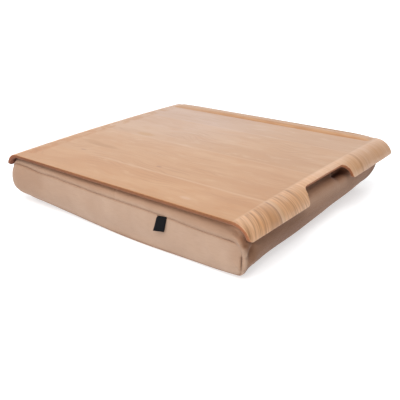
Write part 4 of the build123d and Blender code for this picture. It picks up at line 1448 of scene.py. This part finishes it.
def pile_material(name, light, dark, scale, strength, rough):
    m, t, bsdf = material(name, rough=rough, spec=0.3, sheen=0.3)
    tc = t.add("ShaderNodeTexCoord")
    v = t.add("ShaderNodeTexVoronoi")
    v.inputs["Scale"].default_value = scale
    t.t.links.new(tc.outputs["Object"], v.inputs["Vector"])
    n = t.noise(tc.outputs["Object"], scale * 0.4, 3.0, 0.6)
    base = t.mix(t.step(v.outputs["Distance"], 0.1, 0.6), light, dark)
    base = t.mix(t.step(n, 0.35, 0.7, 0.0, 0.4), base, tuple(c * 0.7 for c in dark))
    t.t.links.new(base, bsdf.inputs["Base Color"])
    bump(t, bsdf, v.outputs["Distance"], strength, 0.0005)
    return m


mat_hook = pile_material("hook_tape", (0.30, 0.215, 0.155), (0.20, 0.14, 0.10), 900.0, 0.8, 0.5)
mat_loop = pile_material("loop_tape", (0.42, 0.305, 0.225), (0.31, 0.22, 0.16), 520.0, 0.6, 0.9)
for tag_name, y in (("front", -90.0), ("rear", 90.0)):
    strip(f"hook_{tag_name}", y, lambda v: TOP + float(crown(v)) - BOARD_T, 1.1, mat_hook, "tray", f"tray_hook_tape_{tag_name}")
    strip(f"loop_{tag_name}", y, lambda v: CT + 1.1, 1.1, mat_loop, "cushion", f"cushion_loop_tape_{tag_name}")


# ---------------------------------------------------------------------------
# Zip: woven tapes, coil of single turns, metal slider and pull
# ---------------------------------------------------------------------------
ZB, ZZ = CR - 1.0, 34.0


def zip_tape(name, sg, node):
    half = 192.0
    prof = [(0.7, 0.0), (0.7, 0.45), (0.95, 0.62), (3.2, 0.60), (3.5, 0.50), (13.4, 0.50), (13.7, 0.35), (13.7, 0.12), (13.4, 0.0)]
    xs = np.linspace(-half, half, 65)
    vs, fs = [], []
    for x in xs:
        # The lower tape narrows and tucks in under the cover where the corners round up
        k = min(max((abs(x) - 150.0) / 28.0, 0.0), 1.0) if sg < 0 else 0.0
        k = k * k * (3.0 - 2.0 * k)
        for h, tt in prof:
            over = max(h - 3.5, 0.0)
            vs.append((x, ZB - 0.6 + tt - 0.4 * k * over, ZZ + sg * (h - 0.85 * k * over)))
    n = len(prof)
    for i in range(len(xs) - 1):
        for j in range(n):
            k_ = (j + 1) % n
            q = (i * n + j, i * n + k_, (i + 1) * n + k_, (i + 1) * n + j)
            fs.append(q if sg > 0 else q[::-1])
    e0_ = tuple(range(n))
    e1_ = tuple((len(xs) - 1) * n + j for j in range(n))
    fs += [e0_[::-1] if sg > 0 else e0_, e1_ if sg > 0 else e1_[::-1]]
    return piece(name, vs, fs, mat_ztape, "cushion", [node], smooth=False)


def zip_coil(name, sg, node):
    pitch, half = 1.5, 185.6
    turns = int(2 * half / pitch)
    per, sides = 10, 5
    cy, cz_, ry, rz = ZB + 0.70, 1.8, 0.36, 0.78
    wr = 0.31
    pts_ = []
    for i in range(turns * per + 1):
        a = 2 * math.pi * i / per
        ca, sa = math.cos(a), math.sin(a)
        pts_.append((-half + 2 * half * i / (turns * per), cy + ry * ca, ZZ + sg * (cz_ + rz * sa)))
    p = np.array(pts_)
    tg = np.gradient(p, axis=0)
    tg /= np.linalg.norm(tg, axis=1, keepdims=True)
    ref = np.tile(np.array([1.0, 0, 0]), (len(p), 1))
    u = np.cross(tg, ref)
    u /= np.linalg.norm(u, axis=1, keepdims=True)
    w_ = np.cross(tg, u)
    vs = np.concatenate([(p + wr * (math.cos(b) * u + math.sin(b) * w_))[:, None] for b in np.linspace(0, 2 * math.pi, sides, endpoint=False)], 1).reshape(-1, 3)
    fs = []
    for i in range(len(p) - 1):
        for j in range(sides):
            k_ = (j + 1) % sides
            fs.append((i * sides + j, i * sides + k_, (i + 1) * sides + k_, (i + 1) * sides + j))
    fs.append(tuple(range(sides))[::-1])
    fs.append(tuple((len(p) - 1) * sides + j for j in range(sides)))
    return piece(name, vs, fs, mat_coil, "cushion", [node])


mt, t, bsdf = material("zip_tape", rough=0.8, spec=0.25, sheen=0.1)
tc = t.add("ShaderNodeTexCoord")
sep = t.add("ShaderNodeSeparateXYZ")
t.t.links.new(tc.outputs["Object"], sep.inputs[0])
rib = t.math("SINE", t.math("MULTIPLY", t.math("ADD", sep.outputs[0], t.math("MULTIPLY", sep.outputs[2], 1.0)), 2 * math.pi / 0.0009))
rib2 = t.math("SINE", t.math("MULTIPLY", t.math("SUBTRACT", sep.outputs[0], sep.outputs[2]), 2 * math.pi / 0.0009))
base = t.mix(t.step(t.math("MULTIPLY", rib, rib2), -1.0, 1.0), (0.30, 0.205, 0.145), (0.40, 0.285, 0.205))
t.t.links.new(base, bsdf.inputs["Base Color"])
bump(t, bsdf, t.math("MULTIPLY", rib, rib2), 0.4, 0.0002)
mat_ztape = mt

mt, t, bsdf = material("zip_coil", rough=0.35, spec=0.5)
tc = t.add("ShaderNodeTexCoord")
base = t.mix(t.step(t.noise(tc.outputs["Object"], 160.0, 2.0), 0.3, 0.7), (0.36, 0.25, 0.175), (0.42, 0.30, 0.215))
t.t.links.new(base, bsdf.inputs["Base Color"])
bump(t, bsdf, t.noise(tc.outputs["Object"], 900.0, 2.0), 0.1, 0.0001)
mat_coil = mt

mt, t, bsdf = material("zip_metal", rough=0.32, spec=0.5, metal=0.75)
tc = t.add("ShaderNodeTexCoord")
wear = t.noise(tc.outputs["Object"], 380.0, 3.0, 0.6)
base = t.mix(t.step(wear, 0.35, 0.7), (0.42, 0.31, 0.23), (0.33, 0.24, 0.175))
t.t.links.new(base, bsdf.inputs["Base Color"])
bump(t, bsdf, wear, 0.12, 0.0001)
mat_zmetal = mt

zip_tape("zip_tape_top", 1, "zip_tape_upper")
zip_tape("zip_tape_low", -1, "zip_tape_lower")
zip_coil("zip_coil_top", 1, "zip_coil_upper")
zip_coil("zip_coil_low", -1, "zip_coil_lower")
for n_ in ("zip_top_stops", "zip_bottom_stop", "zip_slider", "zip_pull"):
    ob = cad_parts[n_]
    ob.data.materials.clear()
    ob.data.materials.append(mat_zmetal)

# ---------------------------------------------------------------------------
# Floor, world and key light
# ---------------------------------------------------------------------------
fm = bpy.data.meshes.new("floor")
S_ = 14.0
fm.from_pydata([(-S_, -S_, -0.0003), (S_, -S_, -0.0003), (S_, S_, -0.0003), (-S_, S_, -0.0003)], [], [(0, 1, 2, 3)])
floor = bpy.data.objects.new("floor", fm)
scene.collection.objects.link(floor)
mt, t, bsdf = material("pale_floor", rough=0.9, spec=0.1)
tc = t.add("ShaderNodeTexCoord")
base = t.mix(t.noise(tc.outputs["Object"], 3.0, 2.0), (0.595, 0.600, 0.606), (0.605, 0.610, 0.616))
t.t.links.new(base, bsdf.inputs["Base Color"])
bsdf.inputs["Emission Color"].default_value = (0.97, 0.985, 1.0, 1.0)
bsdf.inputs["Emission Strength"].default_value = 0.60
fm.materials.append(mt)

world = bpy.data.worlds.new("studio")
scene.world = world
world.use_nodes = True
t = Nodes(world.node_tree)
bg = world.node_tree.nodes["Background"]
tc = t.add("ShaderNodeTexCoord")
sep = t.add("ShaderNodeSeparateXYZ")
t.t.links.new(tc.outputs["Generated"], sep.inputs[0])
wx, wy, wz = sep.outputs
low_sky = t.step(wz, 0.50, 0.92, 1.0, 0.0)
to_right = t.step(t.math("ADD", t.math("MULTIPLY", wx, 0.97), t.math("MULTIPLY", wy, 0.10)), -0.15, 0.40, 0.0, 1.0)
sky = t.math("SUBTRACT", 1.0, t.math("MULTIPLY", t.math("MULTIPLY", low_sky, to_right), 0.95))
back = t.math("MULTIPLY", t.step(wy, 0.2, 0.7, 0.0, 0.28), t.math("SUBTRACT", 1.0, to_right))
front = t.math("MULTIPLY", t.step(wy, -0.3, -0.8, 0.0, 0.20), t.math("SUBTRACT", 1.0, to_right))
sky = t.math("ADD", t.math("ADD", sky, back), front)
t.put(bg.inputs["Color"], t.mix(t.math("MULTIPLY", sky, 0.5), (0.0, 0.0, 0.0), (1.94, 1.97, 2.0)))
bg.inputs["Strength"].default_value = 0.96

sun = bpy.data.lights.new("key", "SUN")
sun.energy = 1.9
sun.angle = math.radians(36)
sun.color = (1.0, 0.985, 0.965)
sun_ob = bpy.data.objects.new("key", sun)
scene.collection.objects.link(sun_ob)
aim = Vector((-0.24, 0.36, -0.90))
sun_ob.rotation_euler = aim.to_track_quat("-Z", "Y").to_euler()
